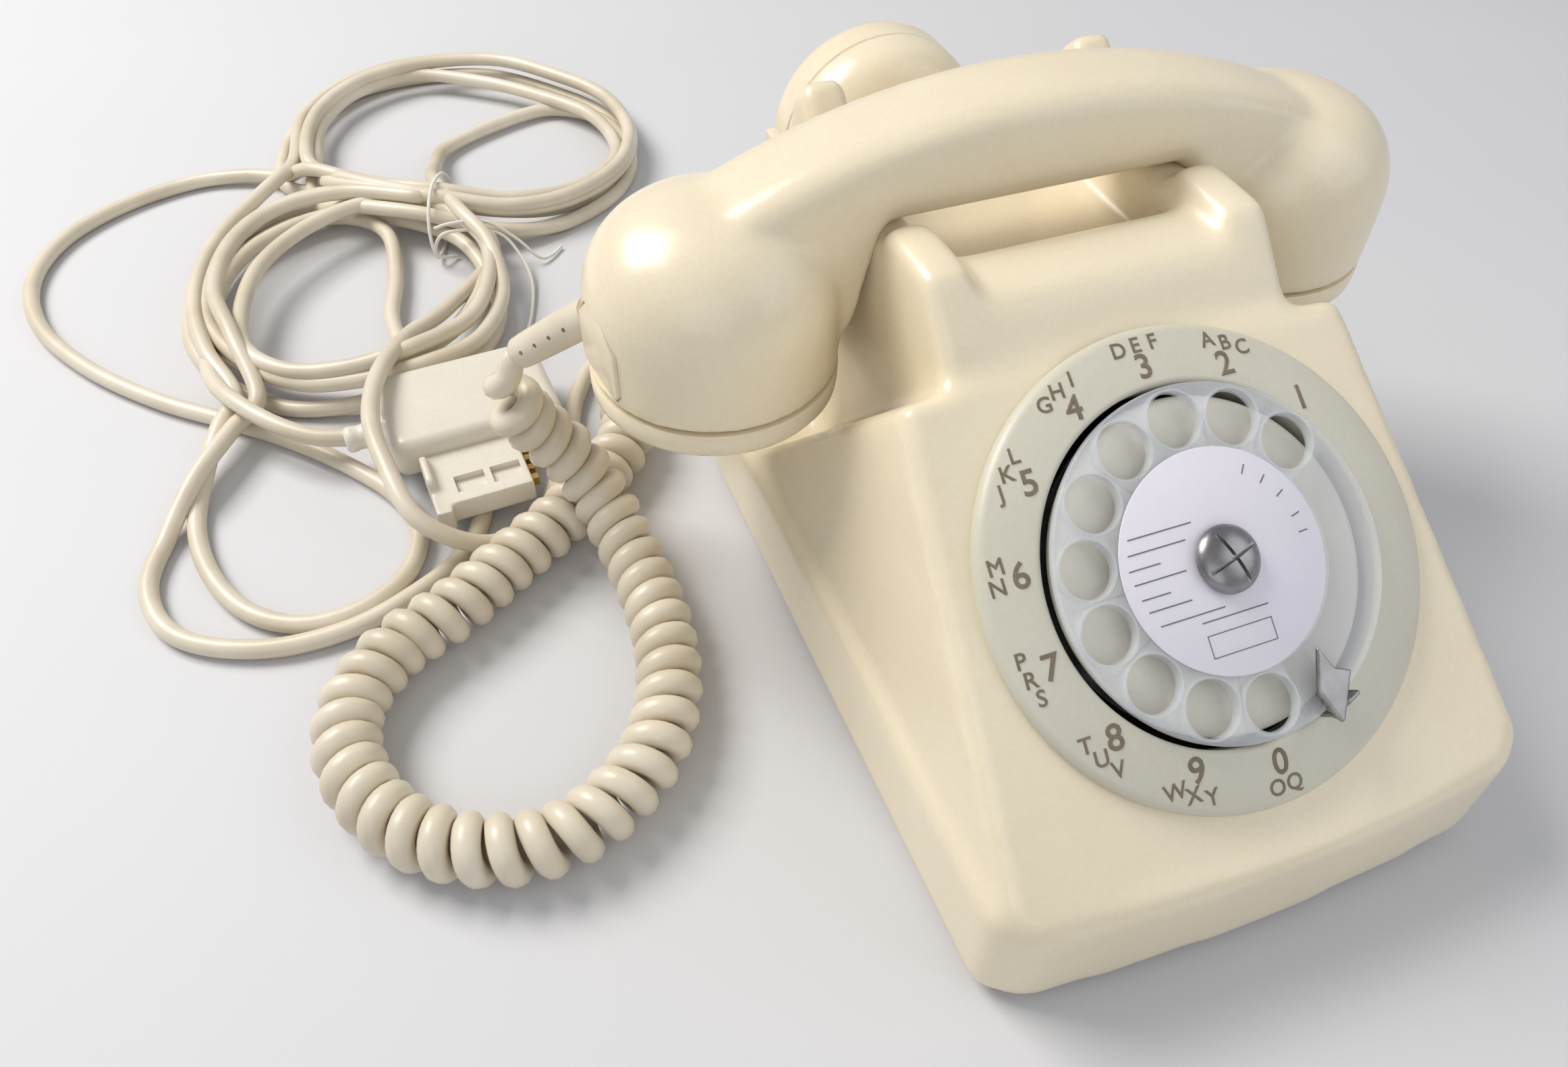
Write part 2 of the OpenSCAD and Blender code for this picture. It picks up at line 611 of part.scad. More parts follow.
module listener_bracket() color(ivory) difference() {
    union() {
        translate([-arm_x - arm_t, rear_y, ledge_z - ledge_t]) cube([2 * (arm_x + arm_t), bracket_t, 18]);
        translate([-arm_x, rear_y, ledge_z - ledge_t]) cube([2 * arm_x, arm_l, ledge_t]);
        for (s = [-1, 1]) translate([s * (arm_x + arm_t / 2) - arm_t / 2, rear_y, ledge_z - ledge_t])
            cube([arm_t, arm_l, arm_h]);
    }
    bracket_screw_places() rotate([90, 0, 0]) translate([0, 0, -5]) cylinder(d = 3 + gap, h = 12);
}

// ---------------------------------------------------------------- cords

gland_x = [-38, -16];
gland_z = 13;
gland_d = 10;
gland_l = 9;

module cord_glands() color(dark) for (i = [0, 1]) translate([gland_x[i], rear_y - 4, gland_z])
    rotate([-90, 0, 0]) union() {
        cylinder(d = gland_d - 2 * gap, h = 4 + gland_l);
        translate([0, 0, 4]) cylinder(d1 = gland_d + 2, d2 = gland_d - 2, h = gland_l);
        cylinder(d = gland_d + 2, h = 4 - wall - gap);
    }

// Curly cord: from the gland, round the case's corner, over the table and up to the handset.
curly_route = [[-38, 98, 13], [-39, 112, 12], [-48, 121, 11], [-66, 123, 10], [-81, 115, 10],
    [-88, 98, 10], [-93, 82, 10], [-104, 69, 10], [-120, 55, 10], [-138, 43, 10], [-156, 31, 10],
    [-174, 22, 10], [-187, 7, 10], [-189, -12, 10], [-180, -32, 10], [-162, -45, 10], [-142, -47, 10],
    [-122, -36, 10], [-110, -18, 10], [-105, 4, 10], [-105, 26, 11], [-107, 42, 15], [-110, 52, 22],
    [-115, 58, 31], [-122, 61, 41], [-127.5, 61, 52], [-126.4, 60.2, 63.4]];

// Line cord, first stretch: from the gland, round the curly cord, over the plug, into the bundle.
lead_route = [[-16, 98, 13], [-17, 115, 8], [-26, 129, 4], [-46, 138, 3], [-72, 138, 3], [-91, 130, 3],
    [-102, 114, 3], [-108, 98, 3], [-117, 78, 2.8], [-129, 61, 2.8], [-145, 53.5, 9], [-160, 59.5, 19],
    [-165, 80, 25], [-166, 100, 26], [-161, 122, 24], [-150, 146, 18], [-134, 166, 12]];

// Line cord: out of the bundle, round the wide loop, under the plug's collar and round a small loop.
wide_route = [[-180, 286, 6], [-196, 296, 4], [-217, 299, 3], [-243, 290, 3], [-264, 272, 3], [-273.7, 246, 3],
    [-270, 216, 3], [-254, 186, 3], [-232, 160, 3], [-209, 140, 3], [-190, 122, 3], [-175, 104, 3],
    [-165, 88, 3], [-161, 71, 3], [-167, 55, 3], [-181, 46, 3], [-197, 46, 3], [-211, 56, 3],
    [-220, 74, 3], [-223, 95, 3], [-219, 116, 5], [-213, 131, 9], [-207, 146, 10]];

// Line cord: out of the bundle again, round the outer small loop and under the plug.
small_route = [[-200, 142, 10], [-209, 128, 10], [-221, 110, 9], [-232, 92, 3], [-237, 75, 3], [-233, 58, 3],
    [-222, 47, 3], [-204, 40, 3], [-184, 40, 3], [-167, 46, 3], [-152, 55, 3], [-143, 68, 3],
    [-139, 84, 3], [-138, 102, 3], [-141, 122, 3], [-146, 134, 3]];

// Line cord, last stretch: out of the bundle and into the plug's collar.
tail_route = [[-214, 170, 10], [-212, 150, 13], [-205, 134, 15], [-195, 121, 14], [-184, 112, 13],
    [-174, 108.5, 12.6]];

function add(a, b) = [for (i = [0:2]) a[i] + b[i]];
function unit(v) = v / norm(v);
function heading(p, i) = unit(p[min(i + 1, len(p) - 1)] - p[max(i - 1, 0)]);

// One closed tube swept along a route, with level sides.
module tube(route, d, sides) {
    n = len(route);
    rings = [for (i = [0:n - 1]) let (t = heading(route, i), u = unit(cross([0, 0, 1], t)), v = cross(t, u))
        for (k = [0:sides - 1]) let (a = 360 * (k + 0.5) / sides)
            add(route[i], (u * cos(a) + v * sin(a)) * d / 2)];
    polyhedron(rings, concat(
        [[for (k = [0:sides - 1]) k]],
        [for (i = [0:n - 2], k = [0:sides - 1]) let (a = i * sides + k, b = i * sides + (k + 1) % sides)
            [a, a + sides, b + sides, b]],
        [[for (k = [0:sides - 1]) n * sides - 1 - k]]), convexity = 6);
}

module curly_cord() color(cord_colour) tube(curly_route, curl_d, 12);
module line_cord_lead() color(cord_colour) tube(lead_route, cord_d, 8);
module line_cord_wide_loop() color(cord_colour) tube(wide_route, cord_d, 8);
module line_cord_small_loop() color(cord_colour) tube(small_route, cord_d, 8);
module line_cord_tail() color(cord_colour) tube(tail_route, cord_d, 8);

// Two coils side by side, which the string pinches together where they overlap.
module coil_lobe(x, y, rx, ry, width) translate([x, y, cord_d / 2]) linear_extrude(bundle_h - cord_d / 2)
    difference() {
        polygon([for (a = [0:10:350]) [rx * cos(a), ry * sin(a)]]);
        polygon([for (a = [0:10:350]) [(rx - width) * cos(a), (ry - width) * sin(a)]]);
    }

module cord_bundle() color(cord_colour) union() {
    coil_lobe(-167, 196, 57, 75, 24);
    coil_lobe(-110, 284, 74, 80, 26);
}

tie_place = [-124, 220, bundle_h / 2 + 1];
tie_l = 46;
tie_d = 1.4;
module string_tie() color("white") translate(tie_place) rotate([0, 0, 73]) difference() {
    cube([tie_l, tie_d, bundle_h + 2 * tie_d - 2], center = true);
    cube([tie_l - 2 * tie_d, 2 * tie_d, bundle_h - 2], center = true);
}

// ---------------------------------------------------------------- plug

// The plug lies on the cord that runs under it.
plug_place = [-143, 109, 5.7];
plug_turn = 3;
collar_l = 12;
blade_w = 23;
blade_t = 8;
module on_plug() translate(plug_place) rotate(plug_turn) children();

module plug_body() color(ivory) on_plug() difference() {
    union() {
        translate([-plug_l / 2 + collar_l, -plug_w / 2 + 4, 0]) cube([plug_l - collar_l, plug_w - 6, plug_t - 6]);
        translate([-plug_l / 2, 0, plug_t / 2 - 3]) rotate([0, 90, 0]) cylinder(d1 = 8, d2 = 13, h = collar_l + cut);
    }
    translate([-plug_l / 2 - cut, 0, plug_t / 2 - 3]) rotate([0, 90, 0]) cylinder(d = cord_d + gap, h = 9);
}

// Flat block that carries the contacts, with a fin and a keying tab at its front.
module plug_blade() color(ivory) on_plug() difference() {
    union() {
        translate([-14, -plug_w / 2 + 4 - blade_w, 0]) cube([30, blade_w, blade_t]);
        translate([-14, -plug_w / 2 - 12, blade_t]) cube([2.4, 14, 4]);
        translate([-14, -plug_w / 2 + 1 - blade_w, 0]) cube([5, 3, blade_t]);
    }
    for (x = [-6, 5]) translate([x, -plug_w / 2 - blade_w + 8, blade_t - 2]) cube([9, 7, 4]);
}

module plug_contacts() color(brass) on_plug() for (i = [0:3])
    translate([16, -plug_w / 2 - blade_w + 7 + 4.5 * i, 3]) cube([2, 2.2, 3]);

case_shell();
base_plate();
rubber_feet();
base_screws();
number_ring();
dial_plate();
dial_frame();
dial_bush();
dial_shaft();
finger_wheel();
number_card();
card_window();
centre_screw();
finger_stop();
drive_gear();
pulse_cam();
main_spring();
governor();
governor_cup();
pulse_contacts();
dial_screws();
hook_bar();
hook_springs();
circuit_board();
induction_coil();
capacitor();
terminal_block();
gongs();
ringer_coil();
ringer_core();
clapper();
handset_body();
mouth_cap();
ear_cap();
transmitter_capsule();
receiver_capsule();
cord_clamp_plate();
handset_relief();
listener_bracket();
listener_body();
listener_cap();
listener_capsule();
cord_glands();
curly_cord();
line_cord_lead();
line_cord_wide_loop();
line_cord_small_loop();
line_cord_tail();
cord_bundle();
string_tie();
plug_body();
plug_blade();
plug_contacts();
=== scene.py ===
"""Rotary telephone: case, dial, handset, listener, cords and plug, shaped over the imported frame."""

import json
import logging
import math
from collections.abc import Callable, Sequence
from dataclasses import dataclass
from enum import Enum

import bpy
from mathutils import Matrix, Vector

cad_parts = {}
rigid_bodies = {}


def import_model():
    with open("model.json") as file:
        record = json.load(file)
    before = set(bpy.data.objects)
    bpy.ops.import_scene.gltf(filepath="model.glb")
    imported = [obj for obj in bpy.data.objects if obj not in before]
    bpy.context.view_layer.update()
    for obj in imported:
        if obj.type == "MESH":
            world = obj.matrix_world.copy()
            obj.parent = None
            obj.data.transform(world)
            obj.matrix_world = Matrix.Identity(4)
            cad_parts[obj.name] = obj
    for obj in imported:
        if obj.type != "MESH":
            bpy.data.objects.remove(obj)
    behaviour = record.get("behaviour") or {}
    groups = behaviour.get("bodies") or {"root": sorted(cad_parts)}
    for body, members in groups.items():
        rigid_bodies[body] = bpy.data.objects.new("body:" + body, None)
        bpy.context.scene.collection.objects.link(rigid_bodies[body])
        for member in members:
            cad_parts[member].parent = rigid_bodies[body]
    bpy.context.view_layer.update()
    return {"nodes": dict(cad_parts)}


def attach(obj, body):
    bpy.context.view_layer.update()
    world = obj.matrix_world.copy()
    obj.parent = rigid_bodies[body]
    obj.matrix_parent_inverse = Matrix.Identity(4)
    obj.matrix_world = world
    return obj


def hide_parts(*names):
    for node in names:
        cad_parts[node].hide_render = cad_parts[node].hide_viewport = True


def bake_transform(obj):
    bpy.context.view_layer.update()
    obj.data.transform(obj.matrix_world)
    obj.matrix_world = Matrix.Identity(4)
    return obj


LOG = logging.getLogger("telephone")
MM = 0.001
Point = tuple[float, float, float]
FACE_TILT = 36.7
GRIP_Y = 30.3
SOUND_HOLE = 1.1
LAST_PASSES = 4


class Body(str, Enum):
    """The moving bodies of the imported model."""

    CASE = "case"
    DIAL = "dial"
    HANDSET = "handset"
    LISTENER = "listener"


class Slot(str, Enum):
    """Names of the record's material slots, passed along with the new pieces."""

    IVORY = "ivory_plastic"
    RING = "ring_plastic"
    CLEAR = "clear_plastic"
    CARD = "card_paper"
    STEEL = "dial_steel"
    CORD = "cord_vinyl"
    STRING = "string"


# ---------------------------------------------------------------- finishes


class Wire:
    """A shader socket that arithmetic can be written on."""

    def __init__(self, graph: "Graph", socket: bpy.types.NodeSocket) -> None:
        """Wraps a socket of a graph."""
        self.graph = graph
        self.socket = socket

    def _math(self, operation: str, first: "Wire | float", second: "Wire | float") -> "Wire":
        """Adds one Math node."""
        return self.graph.node("ShaderNodeMath", {"operation": operation}, {0: first, 1: second})

    def __add__(self, other: "Wire | float") -> "Wire":
        """Sum."""
        return self._math("ADD", self, other)

    def __radd__(self, other: float) -> "Wire":
        """Sum with a number first."""
        return self._math("ADD", other, self)

    def __sub__(self, other: "Wire | float") -> "Wire":
        """Difference."""
        return self._math("SUBTRACT", self, other)

    def __rsub__(self, other: float) -> "Wire":
        """Difference from a number."""
        return self._math("SUBTRACT", other, self)

    def __mul__(self, other: "Wire | float") -> "Wire":
        """Product."""
        return self._math("MULTIPLY", self, other)

    def __rmul__(self, other: float) -> "Wire":
        """Product with a number first."""
        return self._math("MULTIPLY", other, self)


class Graph:
    """A material's node graph."""

    def __init__(self, name: str) -> None:
        """Starts an empty material.

        Args:
            name: The material's name.
        """
        self.material = bpy.data.materials.new(name)
        self.material.use_nodes = True
        self.tree = self.material.node_tree
        self.tree.nodes.clear()

    def node(
        self,
        kind: str,
        settings: dict[str, object] | None = None,
        values: dict[object, object] | None = None,
        output: object = 0,
    ) -> Wire:
        """Adds a node.

        Args:
            kind: The node's type.
            settings: Properties, set first; "stops" fills a colour ramp.
            values: Socket values or wires, by socket name or number.
            output: The output that is returned.

        Returns:
            The output as a wire.
        """
        made = self.tree.nodes.new(kind)
        for key, value in (settings or {}).items():
            if key == "stops":
                ramp = made.color_ramp
                while len(ramp.elements) < len(value):
                    ramp.elements.new(0.5)
                for element, (place, shade) in zip(ramp.elements, value):
                    element.position = place
                    element.color = (shade, shade, shade, 1)
            else:
                setattr(made, key, value)
        for key, value in (values or {}).items():
            if isinstance(value, Wire):
                self.tree.links.new(value.socket, made.inputs[key])
            else:
                made.inputs[key].default_value = value
        return Wire(self, made.outputs[output])

    def place(self) -> Wire:
        """Object coordinates."""
        return self.node("ShaderNodeTexCoord", output="Object")

    def noise(self, scale: float, detail: float = 3.0, stretch: Point = (1, 1, 1)) -> Wire:
        """Noise on object coordinates.

        Args:
            scale: Cycles per metre.
            detail: Octaves.
            stretch: How much finer the pattern is along each axis.

        Returns:
            A value round 0.5.
        """
        spot = self.node("ShaderNodeMapping", values={"Vector": self.place(), "Scale": stretch})
        return self.node("ShaderNodeTexNoise", values={"Vector": spot, "Scale": scale, "Detail": detail})

    def ramp(self, value: Wire, *stops: tuple[float, float]) -> Wire:
        """A value through a grey ramp of (place, shade) stops."""
        return self.node("ShaderNodeValToRGB", {"stops": stops}, {0: value})

    def mix(self, factor: Wire | float, first: object, second: object) -> Wire:
        """Blends two colours."""
        return self.node("ShaderNodeMix", {"data_type": "RGBA"}, {0: factor, 6: first, 7: second}, 2)

    def bump(self, height: Wire, strength: float, distance: float) -> Wire:
        """A bump from a height wire.

        Args:
            height: Height from 0 to 1.
            strength: How strong the bump is.
            distance: The height of 1, in metres.

        Returns:
            The normal.
        """
        values = {"Strength": strength, "Distance": distance, "Height": height}
        return self.node("ShaderNodeBump", values=values)

    def finish(self, values: dict[object, object]) -> bpy.types.Material:
        """Closes the graph with a Principled shader of these socket values."""
        shader = self.node("ShaderNodeBsdfPrincipled", values=values)
        self.node_out(shader)
        return self.material

    def node_out(self, shader: Wire) -> None:
        """Links a shader to the material's output."""
        made = self.tree.nodes.new("ShaderNodeOutputMaterial")
        self.tree.links.new(shader.socket, made.inputs["Surface"])


def colour(red: int, green: int, blue: int) -> tuple[float, float, float, float]:
    """A display colour from 0 to 255 as a linear one."""

    def linear(level: int) -> float:
        """One channel."""
        share = level / 255
        return share / 12.92 if share <= 0.04045 else ((share + 0.055) / 1.055) ** 2.4

    return (linear(red), linear(green), linear(blue), 1.0)


@dataclass(frozen=True)
class Moulded:
    """Moulded plastic or rubber: cloudy colour, fine orange peel, faint handling marks."""

    name: str
    light: tuple[int, int, int]
    deep: tuple[int, int, int]
    roughness: float = 0.3
    coat: float = 0.25
    peel: float = 0.35
    scale: float = 22.0

    def make(self) -> bpy.types.Material:
        """Builds the material."""
        graph = Graph(self.name)
        cloud = graph.ramp(graph.noise(self.scale, 4), (0.3, 0), (0.7, 1))
        speck = graph.ramp(graph.noise(900, 2), (0.42, 0), (0.6, 1))
        skin = graph.noise(1500, 2)
        wear = graph.noise(60, 5)
        tint = graph.mix(cloud * 0.75 + speck * 0.25, colour(*self.deep), colour(*self.light))
        return graph.finish(
            {
                "Base Color": tint,
                "Roughness": wear * 0.16 + (self.roughness - 0.08),
                "IOR": 1.5,
                "Coat Weight": self.coat,
                "Coat Roughness": 0.22,
                "Normal": graph.bump(skin, self.peel, 0.00006),
            }
        )


@dataclass(frozen=True)
class Metal:
    """Metal with fine brushing and dull patches."""

    name: str
    light: tuple[int, int, int]
    deep: tuple[int, int, int]
    roughness: float = 0.32
    brush: Point = (1, 12, 1)

    def make(self) -> bpy.types.Material:
        """Builds the material."""
        graph = Graph(self.name)
        lines = graph.noise(700, 4, self.brush)
        patch = graph.ramp(graph.noise(140, 4), (0.35, 0), (0.7, 1))
        tint = graph.mix(patch * 0.6 + lines * 0.4, colour(*self.deep), colour(*self.light))
        return graph.finish(
            {
                "Base Color": tint,
                "Metallic": 1.0,
                "Roughness": lines * 0.2 + (self.roughness - 0.08),
                "Normal": graph.bump(lines, 0.3, 0.00005),
            }
        )


@dataclass(frozen=True)
class Paper:
    """Printed card: fibre mottling and a dry surface."""

    name: str
    light: tuple[int, int, int]
    deep: tuple[int, int, int]
    roughness: float = 0.7

    def make(self) -> bpy.types.Material:
        """Builds the material."""
        graph = Graph(self.name)
        fibre = graph.noise(2400, 4, (1, 3, 1))
        cloud = graph.noise(90, 3)
        tint = graph.mix(fibre * 0.5 + cloud * 0.5, colour(*self.deep), colour(*self.light))
        return graph.finish(
            {
                "Base Color": tint,
                "Roughness": fibre * 0.1 + self.roughness,
                "Normal": graph.bump(fibre, 0.25, 0.00004),
            }
        )


@dataclass(frozen=True)
class Vinyl:
    """Cord vinyl: soft sheen, slight grime in patches along the cord."""

    name: str
    light: tuple[int, int, int]
    deep: tuple[int, int, int]
    roughness: float = 0.36

    def make(self) -> bpy.types.Material:
        """Builds the material."""
        graph = Graph(self.name)
        grime = graph.ramp(graph.noise(38, 5), (0.32, 0), (0.62, 1))
        skin = graph.noise(1100, 3)
        tint = graph.mix(grime, colour(*self.deep), colour(*self.light))
        return graph.finish(
            {
                "Base Color": tint,
                "Roughness": grime * -0.08 + (self.roughness + 0.06),
                "IOR": 1.5,
                "Coat Weight": 0.15,
                "Coat Roughness": 0.3,
                "Normal": graph.bump(skin, 0.3, 0.00006),
            }
        )


@dataclass(frozen=True)
class Clear:
    """Clear acrylic: almost unseen face on; on its edges a painted highlight makes it milky and bright."""

    name: str
    tint: tuple[int, int, int]
    body: float
    edge_highlight: float
    roughness: float = 0.06

    def make(self) -> bpy.types.Material:
        """Builds the material."""
        graph = Graph(self.name)
        haze = graph.noise(300, 4)
        # Painted highlight mask: where rim is 1 the alpha rises, so the pale base colour shows as a bright edge.
        rim = graph.node("ShaderNodeAttribute", {"attribute_name": "rim"}, output="Fac")
        return graph.finish(
            {
                "Base Color": graph.mix(haze, colour(*self.tint), (0.86, 0.88, 0.92, 1)),
                "Roughness": haze * 0.06 + self.roughness,
                "IOR": 1.49,
                "Coat Weight": 1.0,
                "Coat Roughness": 0.04,
                "Alpha": rim * (self.edge_highlight - self.body) + (haze * 0.06 + (self.body - 0.03)),
            }
        )


Finish = Moulded | Metal | Paper | Vinyl | Clear
IVORY = Moulded("ivory_plastic", (236, 224, 196), (228, 214, 184), roughness=0.3, coat=0.3)
RING = Moulded("ring_plastic", (208, 205, 188), (200, 196, 178), roughness=0.42, coat=0.1)
PRINT = Moulded("print", (128, 115, 95), (112, 100, 82), roughness=0.55, coat=0.0, scale=300)
PLATE = Moulded("dial_plate_plastic", (214, 211, 198), (206, 202, 188), roughness=0.4, coat=0.1)
PLUG = Moulded("plug_plastic", (228, 222, 208), (216, 209, 194), roughness=0.34, coat=0.2)
CARD = Paper("card_paper", (236, 231, 238), (226, 221, 230))
CARD_PRINT = Paper("card_print", (92, 88, 92), (74, 70, 76))
# The last number is the alpha of the painted highlight on the wheel's rims.
CLEAR = Clear("clear_acrylic", (226, 228, 230), body=0.05, edge_highlight=0.4)
WINDOW = Clear("card_window", (240, 240, 244), body=0.1, edge_highlight=0.4)
STEEL = Metal("satin_steel", (176, 174, 174), (128, 125, 126), roughness=0.3)
FRAME_METAL = Metal("frame_metal", (168, 168, 170), (118, 118, 122), roughness=0.4, brush=(6, 1, 1))
BRASS = Metal("brass", (206, 172, 100), (160, 124, 62), roughness=0.34)
DARK = Moulded("dark_plastic", (52, 51, 52), (38, 37, 39), roughness=0.5, coat=0.05, scale=60)
RUBBER = Moulded("foot_rubber", (46, 45, 44), (32, 31, 31), roughness=0.8, coat=0.0, peel=0.8, scale=120)
BOARD = Paper("circuit_board", (152, 118, 70), (126, 96, 54), roughness=0.55)
COPPER = Metal("coil_copper", (186, 108, 66), (132, 70, 42), roughness=0.38, brush=(1, 1, 30))
VINYL = Vinyl("cord_vinyl", (222, 212, 192), (204, 192, 168))
STRING = Paper("string_cotton", (238, 234, 226), (214, 208, 196), roughness=0.85)

NODE_FINISHES: dict[Finish, tuple[str, ...]] = {
    IVORY: ("case_shell", "handset_body", "mouth_cap", "ear_cap", "cord_clamp_plate", "listener_body",
            "listener_cap", "listener_bracket", "hook_bar"),
    RING: ("number_ring",),
    PLATE: ("dial_plate",),
    PLUG: ("plug_body", "plug_blade"),
    CARD: ("number_card",),
    CLEAR: ("finger_wheel",),
    WINDOW: ("card_window",),
    STEEL: ("finger_stop", "centre_screw", "dial_shaft", "dial_screws", "base_screws"),
    FRAME_METAL: ("dial_frame", "main_spring", "governor_cup", "capacitor", "ringer_core", "clapper",
                  "transmitter_capsule", "receiver_capsule", "listener_capsule"),
    BRASS: ("dial_bush", "drive_gear", "governor", "pulse_contacts", "hook_springs", "gongs", "plug_contacts"),
    DARK: ("base_plate", "pulse_cam", "induction_coil", "terminal_block", "cord_glands"),
    RUBBER: ("rubber_feet",),
    BOARD: ("circuit_board",),
    COPPER: ("ringer_coil",),
    VINYL: ("curly_cord", "line_cord_lead", "line_cord_wide_loop", "line_cord_small_loop", "line_cord_tail",
            "cord_bundle", "handset_relief"),
    STRING: ("string_tie",),
}


class Paints:
    """Makes each finish once."""

    def __init__(self) -> None:
        """Starts with no material made."""
        self.made: dict[Finish, bpy.types.Material] = {}

    def get(self, finish: Finish) -> bpy.types.Material:
        """The finish's material, made at first use."""
        if finish not in self.made:
            self.made[finish] = finish.make()
        return self.made[finish]

    def dress(self, piece: bpy.types.Object, finish: Finish) -> None:
        """Gives a piece one finish."""
        piece.data.materials.clear()
        piece.data.materials.append(self.get(finish))

    def dress_nodes(self, nodes: dict[str, bpy.types.Object]) -> None:
        """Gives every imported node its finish."""
        for finish, names in NODE_FINISHES.items():
            for name in names:
                for socket in nodes[name].material_slots:
                    socket.material = self.get(finish)
                if not nodes[name].material_slots:
                    nodes[name].data.materials.append(self.get(finish))


# ---------------------------------------------------------------- shaping by hand


def clear_selection() -> None:
    """Leaves edit mode and selects nothing."""
    if bpy.context.object and bpy.context.object.mode != "OBJECT":
        bpy.ops.object.mode_set(mode="OBJECT")
    bpy.ops.object.select_all(action="DESELECT")


def take(piece: bpy.types.Object) -> None:
    """Makes one object the active and only selected one."""
    clear_selection()
    piece.select_set(True)
    bpy.context.view_layer.objects.active = piece


def settle(name: str) -> bpy.types.Object:
    """Names the active new primitive and puts its place in its mesh.

    Args:
        name: The object's name.

    Returns:
        The object, at the origin, unturned and unscaled.
    """
    piece = bpy.context.object
    piece.name = piece.data.name = name
    bpy.ops.object.transform_apply(location=True, rotation=True, scale=True)
    return piece


def block(name: str, low: Point, high: Point) -> bpy.types.Object:
    """A cube between two corners.

    Args:
        name: The object's name.
        low: Lowest corner, in mm.
        high: Highest corner, in mm.

    Returns:
        The block.
    """
    clear_selection()
    middle = [(a + b) / 2 * MM for a, b in zip(low, high)]
    size = [(b - a) * MM for a, b in zip(low, high)]
    bpy.ops.mesh.primitive_cube_add(size=1, location=middle, scale=size)
    return settle(name)


def rod(name: str, radius: float, low: Point, high: Point, sides: int = 48) -> bpy.types.Object:
    """A cylinder between two points.

    Args:
        name: The object's name.
        radius: Radius in mm.
        low: One end's centre, in mm.
        high: The other end's centre, in mm.
        sides: Faces round it.

    Returns:
        The cylinder.
    """
    clear_selection()
    start, end = Vector(low) * MM, Vector(high) * MM
    turn = (end - start).to_track_quat("Z", "Y").to_euler()
    bpy.ops.mesh.primitive_cylinder_add(
        vertices=sides,
        radius=radius * MM,
        depth=(end - start).length,
        location=(start + end) / 2,
        rotation=turn,
    )
    return settle(name)


def edit_all(piece: bpy.types.Object) -> None:
    """Opens a piece in edit mode with everything selected."""
    take(piece)
    bpy.ops.object.mode_set(mode="EDIT")
    bpy.ops.mesh.select_mode(type="VERT")
    bpy.ops.mesh.select_all(action="SELECT")


def close_edit() -> None:
    """Back to object mode."""
    bpy.ops.object.mode_set(mode="OBJECT")


def trim(piece: bpy.types.Object, point: Point, normal: Point) -> bpy.types.Object:
    """Cuts away what lies on the normal's side of a plane and closes the cut.

    Args:
        piece: The piece.
        point: A point on the plane, in mm.
        normal: The side that is cut away.

    Returns:
        The piece.
    """
    edit_all(piece)
    bpy.ops.mesh.bisect(plane_co=Vector(point) * MM, plane_no=normal, use_fill=True, clear_outer=True)
    close_edit()
    return piece


def pick_edges(piece: bpy.types.Object, test: Callable[[Vector, Vector], bool]) -> None:
    """Opens a piece in edit mode with the edges selected whose ends, in mm, pass a test."""
    take(piece)
    mesh = piece.data
    bpy.ops.object.mode_set(mode="EDIT")
    bpy.ops.mesh.select_mode(type="EDGE")
    bpy.ops.mesh.select_all(action="DESELECT")
    close_edit()
    for edge_highlight in mesh.edges:
        first, second = (mesh.vertices[i].co / MM for i in edge_highlight.vertices)
        edge_highlight.select = test(first, second)
    bpy.ops.object.mode_set(mode="EDIT")


def round_edges(
    piece: bpy.types.Object, test: Callable[[Vector, Vector], bool], width: float, segments: int = 4
) -> bpy.types.Object:
    """Rounds the edges that pass a test.

    Args:
        piece: The piece.
        test: Takes an edge's two ends in mm.
        width: Width of the rounding, in mm.
        segments: Faces across it.

    Returns:
        The piece.
    """
    pick_edges(piece, test)
    bpy.ops.mesh.bevel(offset=width * MM, segments=segments, affect="EDGES", clamp_overlap=True)
    close_edit()
    return piece


def turned(name: str, profile: Sequence[tuple[float, float]], steps: int = 96) -> bpy.types.Object:
    """Spins an outline round Z.

    Args:
        name: The object's name.
        profile: (radius, height) points in mm, along the outline.
        steps: Faces round the turn.

    Returns:
        The turned piece, with its axis on Z.
    """
    clear_selection()
    bpy.ops.mesh.primitive_plane_add(size=MM, location=(0, 0, 0))
    piece = settle(name)
    edit_all(piece)
    bpy.ops.mesh.merge(type="CENTER")
    bpy.ops.mesh.select_all(action="SELECT")
    last = (0.0, 0.0)
    for index, (radius, height) in enumerate(profile):
        step = ((radius - last[0]) * MM, 0, (height - last[1]) * MM)
        if index:
            bpy.ops.mesh.extrude_region_move(TRANSFORM_OT_translate={"value": step})
        else:
            bpy.ops.transform.translate(value=step)
        last = (radius, height)
    bpy.ops.mesh.select_all(action="SELECT")
    bpy.ops.mesh.spin(steps=steps, angle=math.tau, center=(0, 0, 0), axis=(0, 0, 1))
    bpy.ops.mesh.select_all(action="SELECT")
    bpy.ops.mesh.remove_doubles(threshold=0.000002)
    bpy.ops.mesh.normals_make_consistent(inside=False)
    close_edit()
    return piece


def modify(piece: bpy.types.Object, kind: str, **settings: object) -> bpy.types.Object:
    """Adds a modifier and applies it.

    Args:
        piece: The piece.
        kind: The modifier's type.
        **settings: Its settings.

    Returns:
        The piece.
    """
    take(piece)
    modifier = piece.modifiers.new(kind.lower(), kind)
    for key, value in settings.items():
        setattr(modifier, key, value)
    bpy.ops.object.modifier_apply(modifier=modifier.name)
    return piece


def cut_with(
    piece: bpy.types.Object, tool: bpy.types.Object, operation: str = "DIFFERENCE"
) -> bpy.types.Object:
    """Cuts a piece with a tool, or keeps what they share, and clears the tool away."""
    modify(piece, "BOOLEAN", object=tool, operation=operation, solver="EXACT")
    bpy.data.objects.remove(tool)
    return piece


